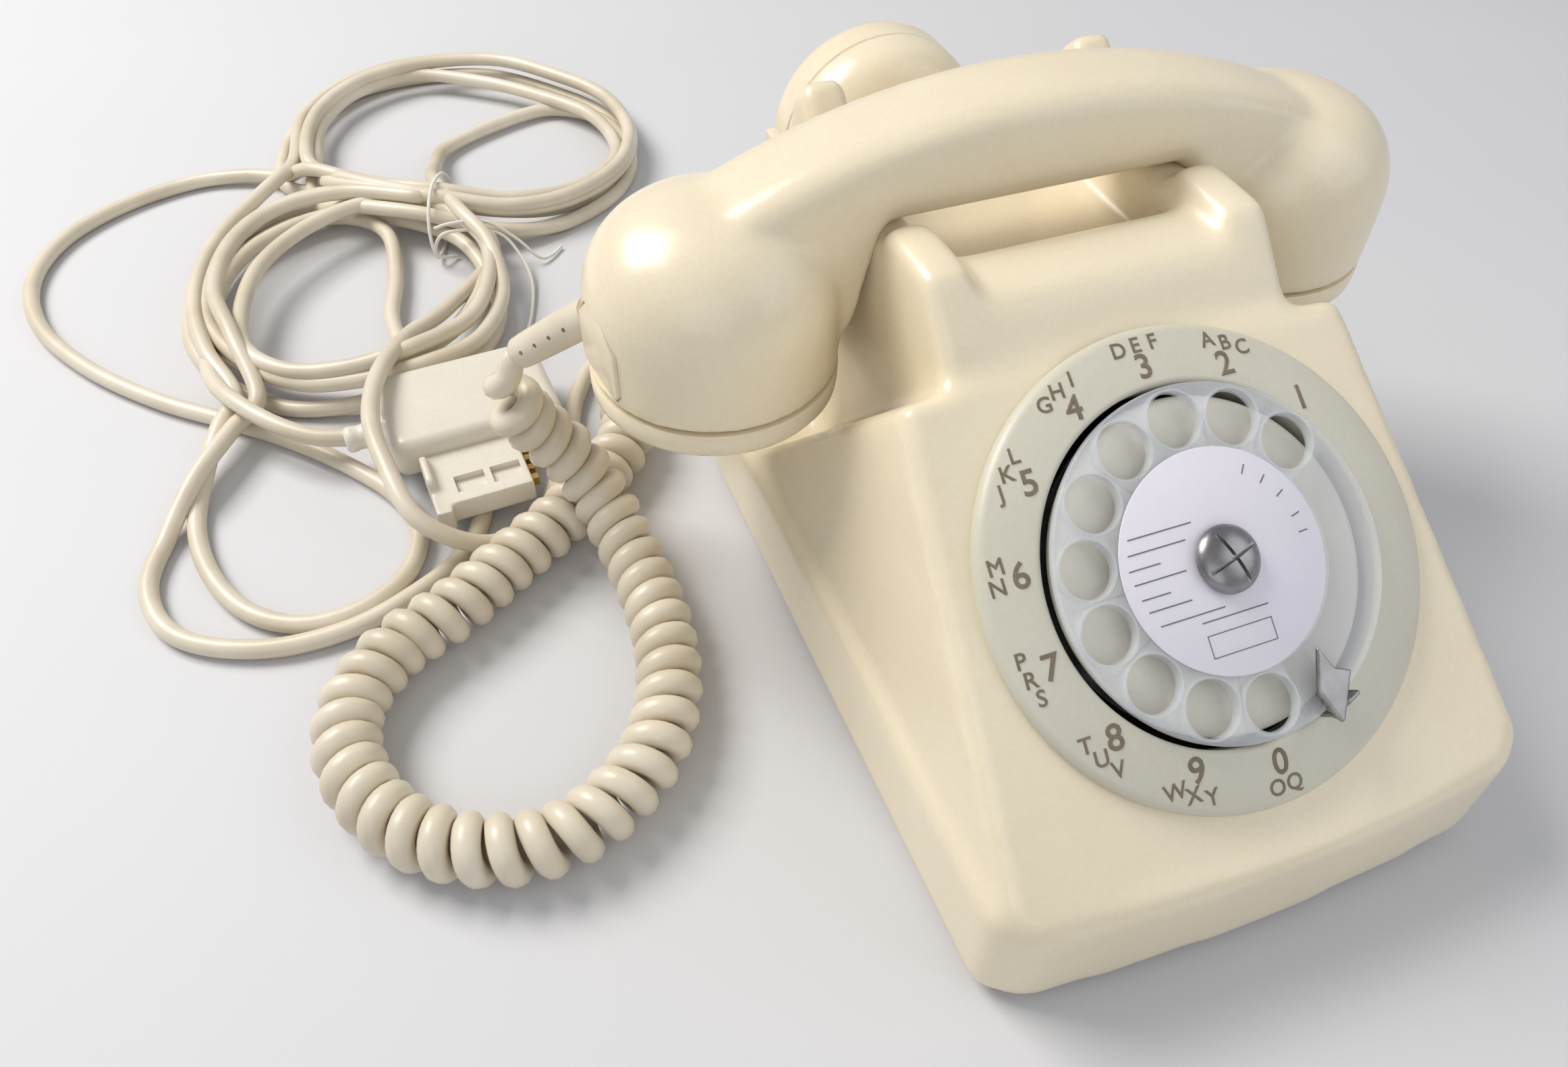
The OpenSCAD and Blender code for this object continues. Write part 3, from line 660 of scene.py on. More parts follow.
def drill_rings(
    piece: bpy.types.Object, rings: Sequence[tuple[float, int]], low: float, high: float
) -> None:
    """Drills rings of sound holes round Z.

    Args:
        piece: The cap.
        rings: Radius in mm and number of holes of each ring.
        low: Lower end of the drill, in mm.
        high: Upper end of the drill, in mm.
    """
    for radius, count in rings:
        for k in range(count):
            a = math.tau * k / count
            x, y = radius * math.cos(a), radius * math.sin(a)
            cut_with(piece, rod("hole", SOUND_HOLE, (x, y, low), (x, y, high), 12))


def join(name: str, parts: Sequence[bpy.types.Object]) -> bpy.types.Object:
    """Joins parts into one object."""
    clear_selection()
    for part in parts:
        part.select_set(True)
    bpy.context.view_layer.objects.active = parts[0]
    if len(parts) > 1:
        bpy.ops.object.join()
    parts[0].name = parts[0].data.name = name
    return parts[0]


def keep_outer(piece: bpy.types.Object) -> bpy.types.Object:
    """Deletes the closed bubbles that remeshing leaves between close-lying walls."""
    take(piece)
    bpy.ops.object.mode_set(mode="EDIT")
    bpy.ops.mesh.select_mode(type="VERT")
    bpy.ops.mesh.select_all(action="DESELECT")
    close_edit()
    min(piece.data.vertices, key=lambda vertex: vertex.co.x).select = True
    bpy.ops.object.mode_set(mode="EDIT")
    bpy.ops.mesh.select_linked()
    bpy.ops.mesh.select_all(action="INVERT")
    bpy.ops.mesh.delete(type="VERT")
    close_edit()
    return piece


def melt(piece: bpy.types.Object, voxel: float, passes: int) -> bpy.types.Object:
    """Melts overlapping parts into one skin and softens its edges.

    Args:
        piece: Joined closed parts.
        voxel: Voxel size in mm.
        passes: Smoothing passes; more gives rounder edges.

    Returns:
        The piece.
    """
    modify(piece, "REMESH", mode="VOXEL", voxel_size=voxel * MM, adaptivity=0.0)
    keep_outer(piece)
    if passes:
        modify(piece, "SMOOTH", factor=0.5, iterations=passes)
        modify(piece, "REMESH", mode="VOXEL", voxel_size=voxel * MM, adaptivity=0.0)
        keep_outer(piece)
        modify(piece, "SMOOTH", factor=0.5, iterations=LAST_PASSES)
    return piece


def shade(piece: bpy.types.Object, angle: float = 35.0) -> bpy.types.Object:
    """Smooth shading with creases above an angle in degrees."""
    take(piece)
    bpy.ops.object.shade_smooth_by_angle(angle=math.radians(angle))
    return piece


def move(piece: bpy.types.Object, matrix: Matrix) -> bpy.types.Object:
    """Moves a piece's mesh by a matrix in metres."""
    piece.data.transform(matrix)
    piece.data.update()
    return piece


def shift(x: float, y: float, z: float) -> Matrix:
    """A move in mm."""
    return Matrix.Translation(Vector((x, y, z)) * MM)


def turn(degrees: float, axis: str) -> Matrix:
    """A rotation about an axis through the origin."""
    return Matrix.Rotation(math.radians(degrees), 4, axis)


def lettering(name: str, text: str, size: float, depth: float) -> bpy.types.Object:
    """Flat raised characters, centred, facing +Z.

    Args:
        name: The object's name.
        text: The characters.
        size: Font size in mm.
        depth: How far they stand up, in mm.

    Returns:
        The characters as a mesh.
    """
    clear_selection()
    bpy.ops.object.text_add(location=(0, 0, 0))
    piece = bpy.context.object
    piece.name = name
    piece.data.body = text
    piece.data.size = size * MM
    piece.data.extrude = depth * MM / 2
    piece.data.bevel_depth = size * 0.014 * MM
    piece.data.bevel_resolution = 0
    piece.data.resolution_u = 4
    piece.data.align_x, piece.data.align_y = "CENTER", "CENTER"
    bpy.ops.object.convert(target="MESH")
    return bpy.context.object


def file_piece(piece: bpy.types.Object, body: Body, slot: Slot, *nodes: str) -> bpy.types.Object:
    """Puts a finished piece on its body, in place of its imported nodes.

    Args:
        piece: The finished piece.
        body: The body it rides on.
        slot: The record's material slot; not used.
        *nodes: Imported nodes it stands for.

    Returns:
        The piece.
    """
    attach(piece, body.value)
    if nodes:
        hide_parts(*nodes)
    faces = len(piece.data.polygons) if piece.type == "MESH" else 0
    LOG.info("%s: %d faces, on %s", piece.name, faces, body.value)
    return piece


DIAL_PLACE = shift(0, -67.85, 71.53) @ turn(FACE_TILT, "X")


# ---------------------------------------------------------------- camera, floor and light


@dataclass
class Studio:
    """Pale floor, soft light and the camera."""

    camera_place: Point = (-149.0, -197.1, 266.7)
    camera_target: Point = (-57.8, 34.5, 0.0)
    roll: float = 0.87
    lens: float = 27.57
    floor_side: float = 3.0
    light_target: Point = (0.0, 0.05, 0.05)

    def make_camera(self) -> None:
        """Makes the scene's camera."""
        clear_selection()
        bpy.ops.object.camera_add()
        camera = bpy.context.object
        place, target = Vector(self.camera_place) * MM, Vector(self.camera_target) * MM
        look = (target - place).to_track_quat("-Z", "Y").to_matrix().to_4x4()
        camera.matrix_world = Matrix.Translation(place) @ look @ turn(self.roll, "Z")
        camera.data.lens = self.lens
        camera.data.sensor_width = 36.0
        camera.data.clip_start = 0.01
        bpy.context.scene.camera = camera

    def make_floor(self) -> None:
        """Makes the floor, which isn't part of the object."""
        clear_selection()
        bpy.ops.mesh.primitive_plane_add(size=self.floor_side, location=(0, 0.2, 0))
        floor = settle("floor")
        graph = Graph("floor")
        mottle = graph.noise(6, 3)
        graph.finish(
            {
                "Base Color": graph.mix(mottle, (0.60, 0.60, 0.61, 1), (0.64, 0.64, 0.65, 1)),
                "Roughness": 0.6,
            }
        )
        floor.data.materials.append(graph.material)

    def make_lights(self) -> None:
        """A soft light from the back left, a weak fill from the right, one in front and a pale world."""
        for name, place, power, size in (
            ("key", (-0.75, 0.75, 1.15), 21.0, 0.75),
            ("fill", (0.9, -0.7, 0.9), 4.5, 1.2),
            ("front", (-0.5, -1.1, 0.7), 3.0, 1.0),
        ):
            clear_selection()
            bpy.ops.object.light_add(type="AREA", location=place)
            lamp = bpy.context.object
            lamp.name = name
            lamp.data.energy = power
            lamp.data.size = size
            lamp.data.color = (1.0, 0.97, 0.93) if name == "key" else (0.96, 0.98, 1.0)
            aim = Vector(self.light_target) - Vector(place)
            lamp.rotation_euler = aim.to_track_quat("-Z", "Y").to_euler()
        world = bpy.data.worlds.new("studio")
        world.use_nodes = True
        world.node_tree.nodes["Background"].inputs["Color"].default_value = (0.92, 0.94, 1.0, 1)
        world.node_tree.nodes["Background"].inputs["Strength"].default_value = 0.42
        bpy.context.scene.world = world
        bpy.context.scene.view_settings.view_transform = "Standard"


# ---------------------------------------------------------------- cords


def smooth_path(points: Sequence[Point], step: float) -> list[Vector]:
    """A smooth line through points, in even steps.

    Args:
        points: Points in mm.
        step: Distance between the new points, in mm.

    Returns:
        Points along a Catmull-Rom curve, in mm.
    """
    knots = [Vector(p) for p in points]
    knots = [knots[0] * 2 - knots[1], *knots, knots[-1] * 2 - knots[-2]]
    cuts = 40
    fine: list[Vector] = []
    for a, b, c, d in zip(knots, knots[1:], knots[2:], knots[3:]):
        for i in range(cuts):
            t = i / cuts
            square = (2 * a - 5 * b + 4 * c - d) * t * t
            cube = (3 * b - a - 3 * c + d) * t**3
            fine.append(0.5 * (2 * b + (c - a) * t + square + cube))
    fine.append(knots[-2])
    lengths = [0.0]
    for a, b in zip(fine, fine[1:]):
        lengths.append(lengths[-1] + (b - a).length)
    count = max(2, round(lengths[-1] / step))
    result, at = [], 0
    for i in range(count + 1):
        want = lengths[-1] * i / count
        while at < len(fine) - 2 and lengths[at + 1] < want:
            at += 1
        share = (want - lengths[at]) / max(1e-9, lengths[at + 1] - lengths[at])
        result.append(fine[at].lerp(fine[at + 1], share))
    return result


def path_length(points: Sequence[Vector]) -> float:
    """Length of a line of points."""
    return sum((b - a).length for a, b in zip(points, points[1:]))


def cord_curve(name: str, points: Sequence[Vector], diameter: float, sides: int = 4) -> bpy.types.Object:
    """A round cord as a curve of one open spline.

    Args:
        name: The object's name.
        points: Centreline in mm.
        diameter: Diameter in mm.
        sides: Bevel resolution.

    Returns:
        The curve object.
    """
    curve = bpy.data.curves.new(name, "CURVE")
    curve.dimensions = "3D"
    curve.bevel_depth = diameter / 2 * MM
    curve.bevel_resolution = sides
    curve.use_fill_caps = True
    spline = curve.splines.new("POLY")
    spline.points.add(len(points) - 1)
    for spot, place in zip(spline.points, points):
        spot.co = (*(Vector(place) * MM), 1)
    spline.use_smooth = True
    piece = bpy.data.objects.new(name, curve)
    bpy.context.scene.collection.objects.link(piece)
    return piece


@dataclass
class CurlyCord:
    """The coiled cord from the case to the handset."""

    wire: float = 7.0
    outside: float = 18.0
    pitch: float = 7.8
    per_turn: int = 20
    plain_start: float = 3.0
    lead_in: float = 10.0
    plain_end: float = 2.0
    lead_out: float = 16.0
    end_stretch: float = 2.5
    route: tuple[Point, ...] = (
        (-38, 98, 13), (-39, 112, 12), (-48, 121, 11), (-66, 123, 10), (-81, 115, 10), (-88, 98, 10),
        (-93, 82, 10), (-104, 69, 10), (-120, 55, 10), (-138, 43, 10), (-156, 31, 10), (-174, 22, 10),
        (-187, 7, 10), (-189, -12, 10), (-180, -32, 10), (-162, -45, 10), (-142, -47, 10), (-122, -36, 10),
        (-110, -18, 10), (-105, 4, 10), (-105, 26, 11), (-107, 42, 15), (-110, 52, 22), (-115, 58, 31),
        (-122, 61, 41), (-127.5, 61, 52), (-126.4, 60.2, 63.4), (-123.4, 61.3, 66.8),
    )

    def helix(self) -> list[Vector]:
        """Points along the wound wire, in mm."""
        line = smooth_path(self.route, self.pitch / self.per_turn)
        total = path_length(line)
        side = Vector((0, 0, 1))
        radius = (self.outside - self.wire) / 2
        points, along, angle = [], 0.0, 0.0
        for i, centre in enumerate(line):
            ahead = (line[min(i + 1, len(line) - 1)] - line[max(i - 1, 0)]).normalized()
            side = (side - ahead * side.dot(ahead)).normalized()
            across = ahead.cross(side)
            step = (centre - line[i - 1]).length if i else 0.0
            along += step
            grow = min(1.0, max(0.0, (along - self.plain_start) / self.lead_in))
            fade = min(1.0, max(0.0, (total - along - self.plain_end) / self.lead_out))
            swell = grow * grow * (3 - 2 * grow) * fade * fade * (3 - 2 * fade)
            reach = radius * swell
            angle += math.tau * step / (self.pitch * (1 + self.end_stretch * (1 - swell)))
            points.append(centre + (side * math.cos(angle) + across * math.sin(angle)) * reach)
        return points

    def build(self, paints: Paints) -> bpy.types.Object:
        """Builds the cord as a mesh tube that stretches to the handset."""
        points = self.helix()
        curve = cord_curve("curly_wire", points, self.wire, 3)
        take(curve)
        bpy.ops.object.convert(target="MESH")
        piece = bpy.context.object
        piece.name = piece.data.name = "curly_wire"
        shade(piece, 60)
        paints.dress(piece, VINYL)
        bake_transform(piece)
        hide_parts("curly_cord")
        tuple(points[0] * MM)
        path_length(points) * MM
        [tuple(p * MM) for p in points]
        turns = path_length(smooth_path(self.route, 1)) / self.pitch
        LOG.info("curly_wire: %.0f mm of wire in about %.0f turns", path_length(points), turns)
        return piece


@dataclass(frozen=True)
class Strand:
    """Part of a turn: plan points, its height, and a lift round one crossing."""

    plan: tuple[tuple[float, float], ...]
    height: float
    lift: float = 0.0
    shift: tuple[float, float] = (0.0, 0.0)
    shrink: float = 1.0

    def points(self, crossing: tuple[float, float], reach: float) -> list[Point]:
        """The strand's points, in mm.

        Args:
            crossing: Place of the crossing that it is lifted over.
            reach: How far the lift spreads.

        Returns:
            Points with their heights.
        """
        middle = Vector([sum(axis) / len(self.plan) for axis in zip(*self.plan)])
        found = []
        for spot in self.plan:
            moved = middle + (Vector(spot) - middle) * self.shrink + Vector(self.shift)
            near = max(0.0, 1 - (moved - Vector(crossing)).length / reach)
            found.append((moved.x, moved.y, self.height + self.lift * near * near * (3 - 2 * near)))
        return found


@dataclass
class LineCord:
    """The line cord: lead, tied bundle of two lobes, wide loop, small loop and tail to the plug."""

    diameter: float = 5.6
    waist: tuple[float, float] = (-135, 238)
    plug_side: tuple[float, float] = (-146, 132)
    lift_reach: float = 45.0
    waist_reach: float = 62.0
    single_reach: float = 60.0
    inside_reach: float = 30.0
    lower: tuple[tuple[float, float], ...] = (
        (-113, 205), (-124, 232), (-147, 254), (-174, 265), (-199, 255), (-215, 230), (-221, 193), (-211, 163),
        (-194, 143), (-172, 134), (-150, 133), (-130, 143), (-116, 171),
    )
    lower_inner: tuple[tuple[float, float], ...] = (
        (-119, 207), (-136, 232), (-164, 248), (-191, 239), (-207, 217), (-213, 185), (-201, 161), (-182, 148),
        (-161, 144), (-137, 154), (-121, 178),
    )
    upper: tuple[tuple[float, float], ...] = (
        (-181, 287), (-173, 326), (-150, 352), (-118, 360), (-84, 352), (-60, 327), (-43, 298), (-41, 263),
        (-54, 235), (-79, 219), (-106, 215), (-132, 224), (-154, 240), (-170, 261),
    )
    upper_inner: tuple[tuple[float, float], ...] = (
        (-163, 292), (-158, 318), (-142, 341), (-115, 350), (-87, 334), (-64, 311), (-47, 285), (-46, 252),
        (-66, 233), (-94, 227), (-122, 232), (-145, 246), (-158, 268),
    )
    across: tuple[tuple[float, float], ...] = (
        (-124, 258), (-121, 273), (-115, 289), (-94, 302), (-66, 309), (-46, 293), (-42, 264), (-56, 239),
        (-80, 229), (-104, 228), (-130, 236), (-151, 250), (-166, 268),
    )
    over: tuple[tuple[float, float], ...] = (
        (-126, 236), (-150, 240), (-175, 230), (-195, 206), (-202, 168), (-190, 147), (-169, 138), (-147, 139),
        (-128, 152), (-117, 176), (-114, 200), (-124, 226), (-146, 250), (-168, 272),
    )
    climb: tuple[tuple[float, float], ...] = ((-214, 170), (-216, 200), (-209, 230), (-195, 254), (-182, 272))
    cross_down: tuple[tuple[float, float], ...] = (
        (-131, 231), (-156, 244), (-182, 242), (-200, 224), (-208, 196), (-204, 167),
    )
    inside: tuple[tuple[float, float], ...] = (
        (-151, 152), (-153, 176), (-148, 202), (-147, 228), (-160, 248), (-183, 249), (-202, 232), (-213, 203),
    )
    lead_route: tuple[Point, ...] = (
        (-16, 98, 13), (-17, 115, 8), (-26, 129, 4), (-46, 138, 3), (-72, 138, 3), (-91, 130, 3),
        (-102, 114, 3), (-108, 98, 3), (-117, 78, 2.8), (-129, 61, 2.8), (-145, 53.5, 9), (-160, 59.5, 19),
        (-165, 80, 25), (-166, 100, 26), (-161, 122, 24), (-150, 146, 18), (-134, 166, 12),
    )
    wide_route: tuple[Point, ...] = (
        (-180, 286, 6), (-196, 296, 4), (-217, 299, 3), (-243, 290, 3), (-264, 272, 3), (-273.7, 246, 3),
        (-270, 216, 3), (-254, 186, 3), (-232, 160, 3), (-209, 140, 3), (-190, 122, 3), (-175, 104, 3),
        (-165, 88, 3), (-161, 71, 3), (-167, 55, 3), (-181, 46, 3), (-197, 46, 3), (-211, 56, 3),
        (-220, 74, 3), (-223, 95, 3), (-219, 116, 5), (-213, 131, 9), (-207, 146, 10),
    )
    small_route: tuple[Point, ...] = (
        (-200, 142, 10), (-209, 128, 10), (-221, 110, 9), (-232, 92, 3), (-237, 75, 3), (-233, 58, 3),
        (-222, 47, 3), (-204, 40, 3), (-184, 40, 3), (-167, 46, 3), (-152, 55, 3), (-143, 68, 3),
        (-139, 84, 3), (-138, 102, 3), (-141, 122, 3), (-146, 134, 3),
    )
    tail_route: tuple[Point, ...] = (
        (-214, 170, 10), (-212, 150, 13), (-205, 134, 15), (-195, 121, 14), (-184, 112, 13),
        (-174, 108.5, 12.6),
    )

    def points(self) -> list[Vector]:
        """The whole centreline, in mm."""
        route: list[Point] = list(self.lead_route)
        for strand in (
            Strand(self.lower, 2.8, 5.0),
            Strand(self.lower_inner, 7.2, 4.5),
            Strand(self.lower, 11.4, 4.0, (5, -3), 0.94),
        ):
            route += strand.points(self.plug_side, self.lift_reach)
        route += [(-113, 196, 16), (-119, 216, 18), (-123, 238, 16)]
        for strand in (
            Strand(self.across, 3.6, 10.0),
            Strand(self.upper, 2.8, 14.0),
            Strand(self.upper_inner, 8.2, 11.0, (-3, 2)),
            Strand(self.upper, 12.0, 7.0, (6, 0), 0.92),
        ):
            route += strand.points(self.waist, self.waist_reach)
        route += Strand(self.over, 14.6, 5.0).points(self.plug_side, self.lift_reach)
        route += list(self.wide_route)
        route += Strand(self.climb, 13.0).points(self.waist, self.single_reach)
        route += Strand(self.upper, 9.0, 10.0, (4, 4), 0.97).points(self.waist, self.waist_reach)
        route += Strand(self.cross_down, 18.0).points(self.waist, self.single_reach)
        route += list(self.small_route)
        route += Strand(self.inside, 5.0, 5.0).points(self.waist, self.inside_reach)
        route += list(self.tail_route)
        floor = self.diameter / 2
        return [Vector((p.x, p.y, max(p.z, floor))) for p in smooth_path(route, 2.5)]

    def build(self, paints: Paints) -> bpy.types.Object:
        """Builds the cord as one curve."""
        points = self.points()
        piece = cord_curve("line_cord", points, self.diameter)
        paints.dress(piece, VINYL)
        file_piece(
            piece, Body.CASE, Slot.CORD, "line_cord_lead", "line_cord_wide_loop", "line_cord_small_loop",
            "line_cord_tail", "cord_bundle",
        )
        LOG.info("line_cord: %.0f mm long", path_length(points))
        tuple(points[0] * MM)
        path_length(points) * MM
        return piece


@dataclass
class TieString:
    """The thin string knotted round the bundle's waist."""

    diameter: float = 1.3
    loop: tuple[Point, ...] = (
        (-124, 213, 1.2), (-131, 210, 5), (-132, 213, 12), (-130, 220, 19.5), (-126, 231, 22.5), (-121, 242, 20),
        (-118, 248, 12), (-118, 248, 3), (-122, 238, 0.9), (-127, 222, 0.9), (-131, 212, 3), (-131, 209, 10),
        (-127, 208, 15), (-117, 207, 15), (-107, 205, 12), (-102, 198, 6), (-101, 185, 2.5), (-105, 168, 1.5),
        (-111, 152, 1.2), (-113, 140, 1.2),
    )
    tail: tuple[Point, ...] = (
        (-130, 211, 16), (-124, 209, 18), (-112, 208, 17), (-102, 204, 10), (-95, 199, 3), (-90, 201, 1.4),
        (-85, 206, 1.2),
    )

    def build(self, paints: Paints) -> bpy.types.Object:
        """Builds both ends of the string as one mesh."""
        parts = []
        for name, line in (("tie_string", self.loop), ("tie_end", self.tail)):
            curve = cord_curve(name, smooth_path(line, 1.5), self.diameter, 2)
            take(curve)
            bpy.ops.object.convert(target="MESH")
            parts.append(bpy.context.object)
        piece = join("tie_string", parts)
        shade(piece, 60)
        paints.dress(piece, STRING)
        return file_piece(piece, Body.CASE, Slot.STRING, "string_tie")


# ---------------------------------------------------------------- case


@dataclass
class Case:
    """The one-piece plastic case."""

    lip_y: float = -118.2
    rear_y: float = 88.8
    foot: float = 3.0
    skirt_z: float = 34.0
    width: float = 138.0
    face_width: float = 119.0
    lip_width: float = 124.0
    bulge: float = 3.6
    tilt: float = FACE_TILT
    back_tilt: float = 46.0
    shoulder: tuple[float, float] = (-27.76, 101.4)
    tower_width: float = 88.0
    ear_width: float = 12.0
    saddle: float = 112.4
    valley: float = 96.0
    grip_y: float = GRIP_Y
    wall: float = 3.4
    wedge_step: float = 2.3
    opening: float = 41.0
    plunger_x: float = 38.0
    plunger_hole: float = 2.8
    gland_places: tuple[float, ...] = (-38.0, -16.0)
    gland_z: float = 13.0
    gland_hole: float = 5.0
    voxel: float = 1.5
    passes: int = 20
    hollow_voxel: float = 3.0
    hollow_passes: int = 7

    def _face(self, piece: bpy.types.Object, inset: float) -> bpy.types.Object:
        """Trims a part to the plane of the dial face, or for the hollow to one a little below it."""
        a = math.radians(self.tilt)
        normal = (0, -math.sin(a), math.cos(a))
        point = (0, self.lip_y + normal[1] * inset, self.skirt_z - normal[2] * inset)
        return trim(piece, point, normal)

    def _skirt(self, inset: float) -> bpy.types.Object:
        """The low body with its bowed front lip and rounded rear corners."""
        half = self.width / 2 - inset
        low = (-half, self.lip_y - self.bulge + inset, self.foot)
        high = (half, self.rear_y - inset, self.skirt_z - inset)
        piece = block("skirt", low, high)
        run = 112.0
        spread = self.width / 2 - self.lip_width / 2
        for side in (-1, 1):
            trim(piece, (side * (self.lip_width / 2 - inset), self.lip_y, 0), (side * run, -spread, 0))

        def upright(a: Vector, b: Vector) -> bool:
            """True for the upright edges."""
            return abs(a.z - b.z) > 20

        round_edges(piece, lambda a, b: upright(a, b) and min(a.y, b.y) > self.rear_y - 12, 24 - inset, 8)
        round_edges(piece, lambda a, b: upright(a, b) and max(a.y, b.y) < self.lip_y + 6, 11 - inset, 6)
        radius = (self.lip_width**2 / 4 + self.bulge**2) / (2 * self.bulge)
        middle = (0, self.lip_y - self.bulge + radius + inset, 0)
        drum = rod("bow", radius, (middle[0], middle[1], -5), (middle[0], middle[1], 60), 512)
        return cut_with(piece, drum, "INTERSECT")

    def _wedge(self, inset: float) -> bpy.types.Object:
        """The sloping block that carries the dial."""
        half = self.width / 2 - self.wedge_step - inset
        piece = block("wedge", (-half, self.lip_y + inset, self.foot + 2), (half, self.rear_y - 2, 110))
        self._face(piece, inset)
        b = math.radians(self.back_tilt)
        back = (0, math.sin(b), math.cos(b))
        trim(piece, (0, self.shoulder[0] - back[1] * inset, self.shoulder[1] - back[2] * inset), back)
        spread = self.width / 2 - self.wedge_step - self.face_width / 2
        lean = (spread + 3.2) / (self.shoulder[1] - self.skirt_z)
        run = 95
        for side in (-1, 1):
            trim(piece, (side * half, 0, self.skirt_z), (side, 0, lean))
            trim(piece, (side * (self.face_width / 2 - inset), self.lip_y, 0), (side * run, -spread, 0))
        front = self.lip_y + 4 + inset
        return round_edges(piece, lambda a, b: max(a.y, b.y) < front and abs(a.z - b.z) > 15, 8, 5)

    def _tower_part(
        self, low_x: float, high_x: float, top: float, inset: float, hollow: bool
    ) -> bpy.types.Object:
        """One upright slice of the tower.

        Args:
            low_x: Left side, in mm.
            high_x: Right side, in mm.
            top: Top of the slice, in mm.
            inset: How far inside the outer skin it lies.
            hollow: True for the middle slice, which leaves room for the fingers; its top isn't trimmed.

        Returns:
            The slice.
        """
        front = self.shoulder[0] - 4 + inset
        piece = block("tower", (low_x, front, self.foot + 2), (high_x, self.rear_y - inset, top))
        self._face(piece, inset)
        trim(piece, (0, self.rear_y - inset, top - 17), (0, 17, 18))
        if not hollow:
            slope = math.tan(math.radians(self.tilt))
            edge_z = self.saddle - 2.9
            trim(piece, (0, self.lip_y + (edge_z - self.skirt_z) / slope, edge_z), (0, -2.9, 18))
        return piece

    def _ear(self, side: int) -> list[bpy.types.Object]:
        """The raised ear in front of the grip and the lug behind it, on one side."""
        outer, inner = side * self.tower_width / 2, side * (self.tower_width / 2 - self.ear_width)
        low_x, high_x = min(outer, inner), max(outer, inner)
        ear = block("ear", (low_x, -22, 100), (high_x, self.grip_y - 16.4, self.saddle + 5.6))
        trim(ear, (0, -18.4, self.saddle - 3.7), (0, -8.3, 20))
        trim(ear, (0, self.grip_y - 19, self.saddle + 5.6), (0, 2, 3))
        lug_y = self.grip_y + 21
        lug = block("lug", (low_x, self.grip_y + 18, 100), (high_x, lug_y + 20, self.saddle + 15))
        trim(lug, (0, lug_y + 2, self.saddle + 6), (0, -9, 3))
        trim(lug, (0, lug_y + 7, self.saddle + 15), (0, -2, 2))
        trim(lug, (0, lug_y + 16, self.saddle + 12), (0, 13, 4))
        trim(lug, (0, lug_y + 13, self.saddle + 15), (0, 3, 3))
        return [ear, lug]

    def _front_bridge(self) -> bpy.types.Object:
        """The part of the tower's top that closes the finger hollow at the front."""
        half = self.tower_width / 2 - 3
        piece = block("bridge", (-half, self.shoulder[0] - 4, 90), (half, 8, self.saddle))
        self._face(piece, 0)
        trim(piece, (0, -16.9, self.saddle - 2.9), (0, -2.9, 18))
        return trim(piece, (0, 3.1, self.saddle), (0, 16.4, 10))

    def _solid(self, inset: float) -> bpy.types.Object:
        """All parts of the case, overlapping, in one object."""
        inner = self.tower_width / 2 - self.ear_width
        half = self.tower_width / 2 - inset
        parts = [self._skirt(inset), self._wedge(inset)]
        parts.append(self._tower_part(-half, half, self.valley - inset, inset, True))
        if not inset:
            parts.append(self._tower_part(-half, -inner, self.saddle, 0, False))
            parts.append(self._tower_part(inner, half, self.saddle, 0, False))
            parts.append(self._front_bridge())
            rear = block("rear", (-half + 3, self.grip_y + 25, 90), (half - 3, self.rear_y, self.saddle))
            trim(rear, (0, self.rear_y, self.saddle - 17), (0, 17, 18))
            trim(rear, (0, self.grip_y + 25, self.valley), (0, -16.4, 18))
            parts.append(rear)
            for side in (-1, 1):
                parts += self._ear(side)
        return join("case_body", parts)

    def build(self, paints: Paints) -> bpy.types.Object:
        """Builds the case: outer skin, then the hollow, which is open below, and the openings."""
        piece = melt(self._solid(0), self.voxel, self.passes)
        under = block("under", (-56, -110, -9), (56, 76, self.foot + 12))
        hollow = melt(join("hollow", [self._solid(self.wall), under]), self.hollow_voxel, self.hollow_passes)
        cut_with(piece, hollow)
        opening = rod("opening", self.opening, (0, 0, -34), (0, 0, 30), 128)
        cut_with(piece, move(opening, DIAL_PLACE))
        for x in (-self.plunger_x, self.plunger_x):
            low, high = (x, self.grip_y, 88), (x, self.grip_y, 130)
            cut_with(piece, rod("plunger_hole", self.plunger_hole, low, high, 32))
        for x in self.gland_places:
            low, high = (x, 80, self.gland_z), (x, 95, self.gland_z)
            cut_with(piece, rod("gland_hole", self.gland_hole, low, high, 48))
        shade(piece, 50)
        paints.dress(piece, IVORY)
        return file_piece(piece, Body.CASE, Slot.IVORY, "case_shell")


# ---------------------------------------------------------------- dial


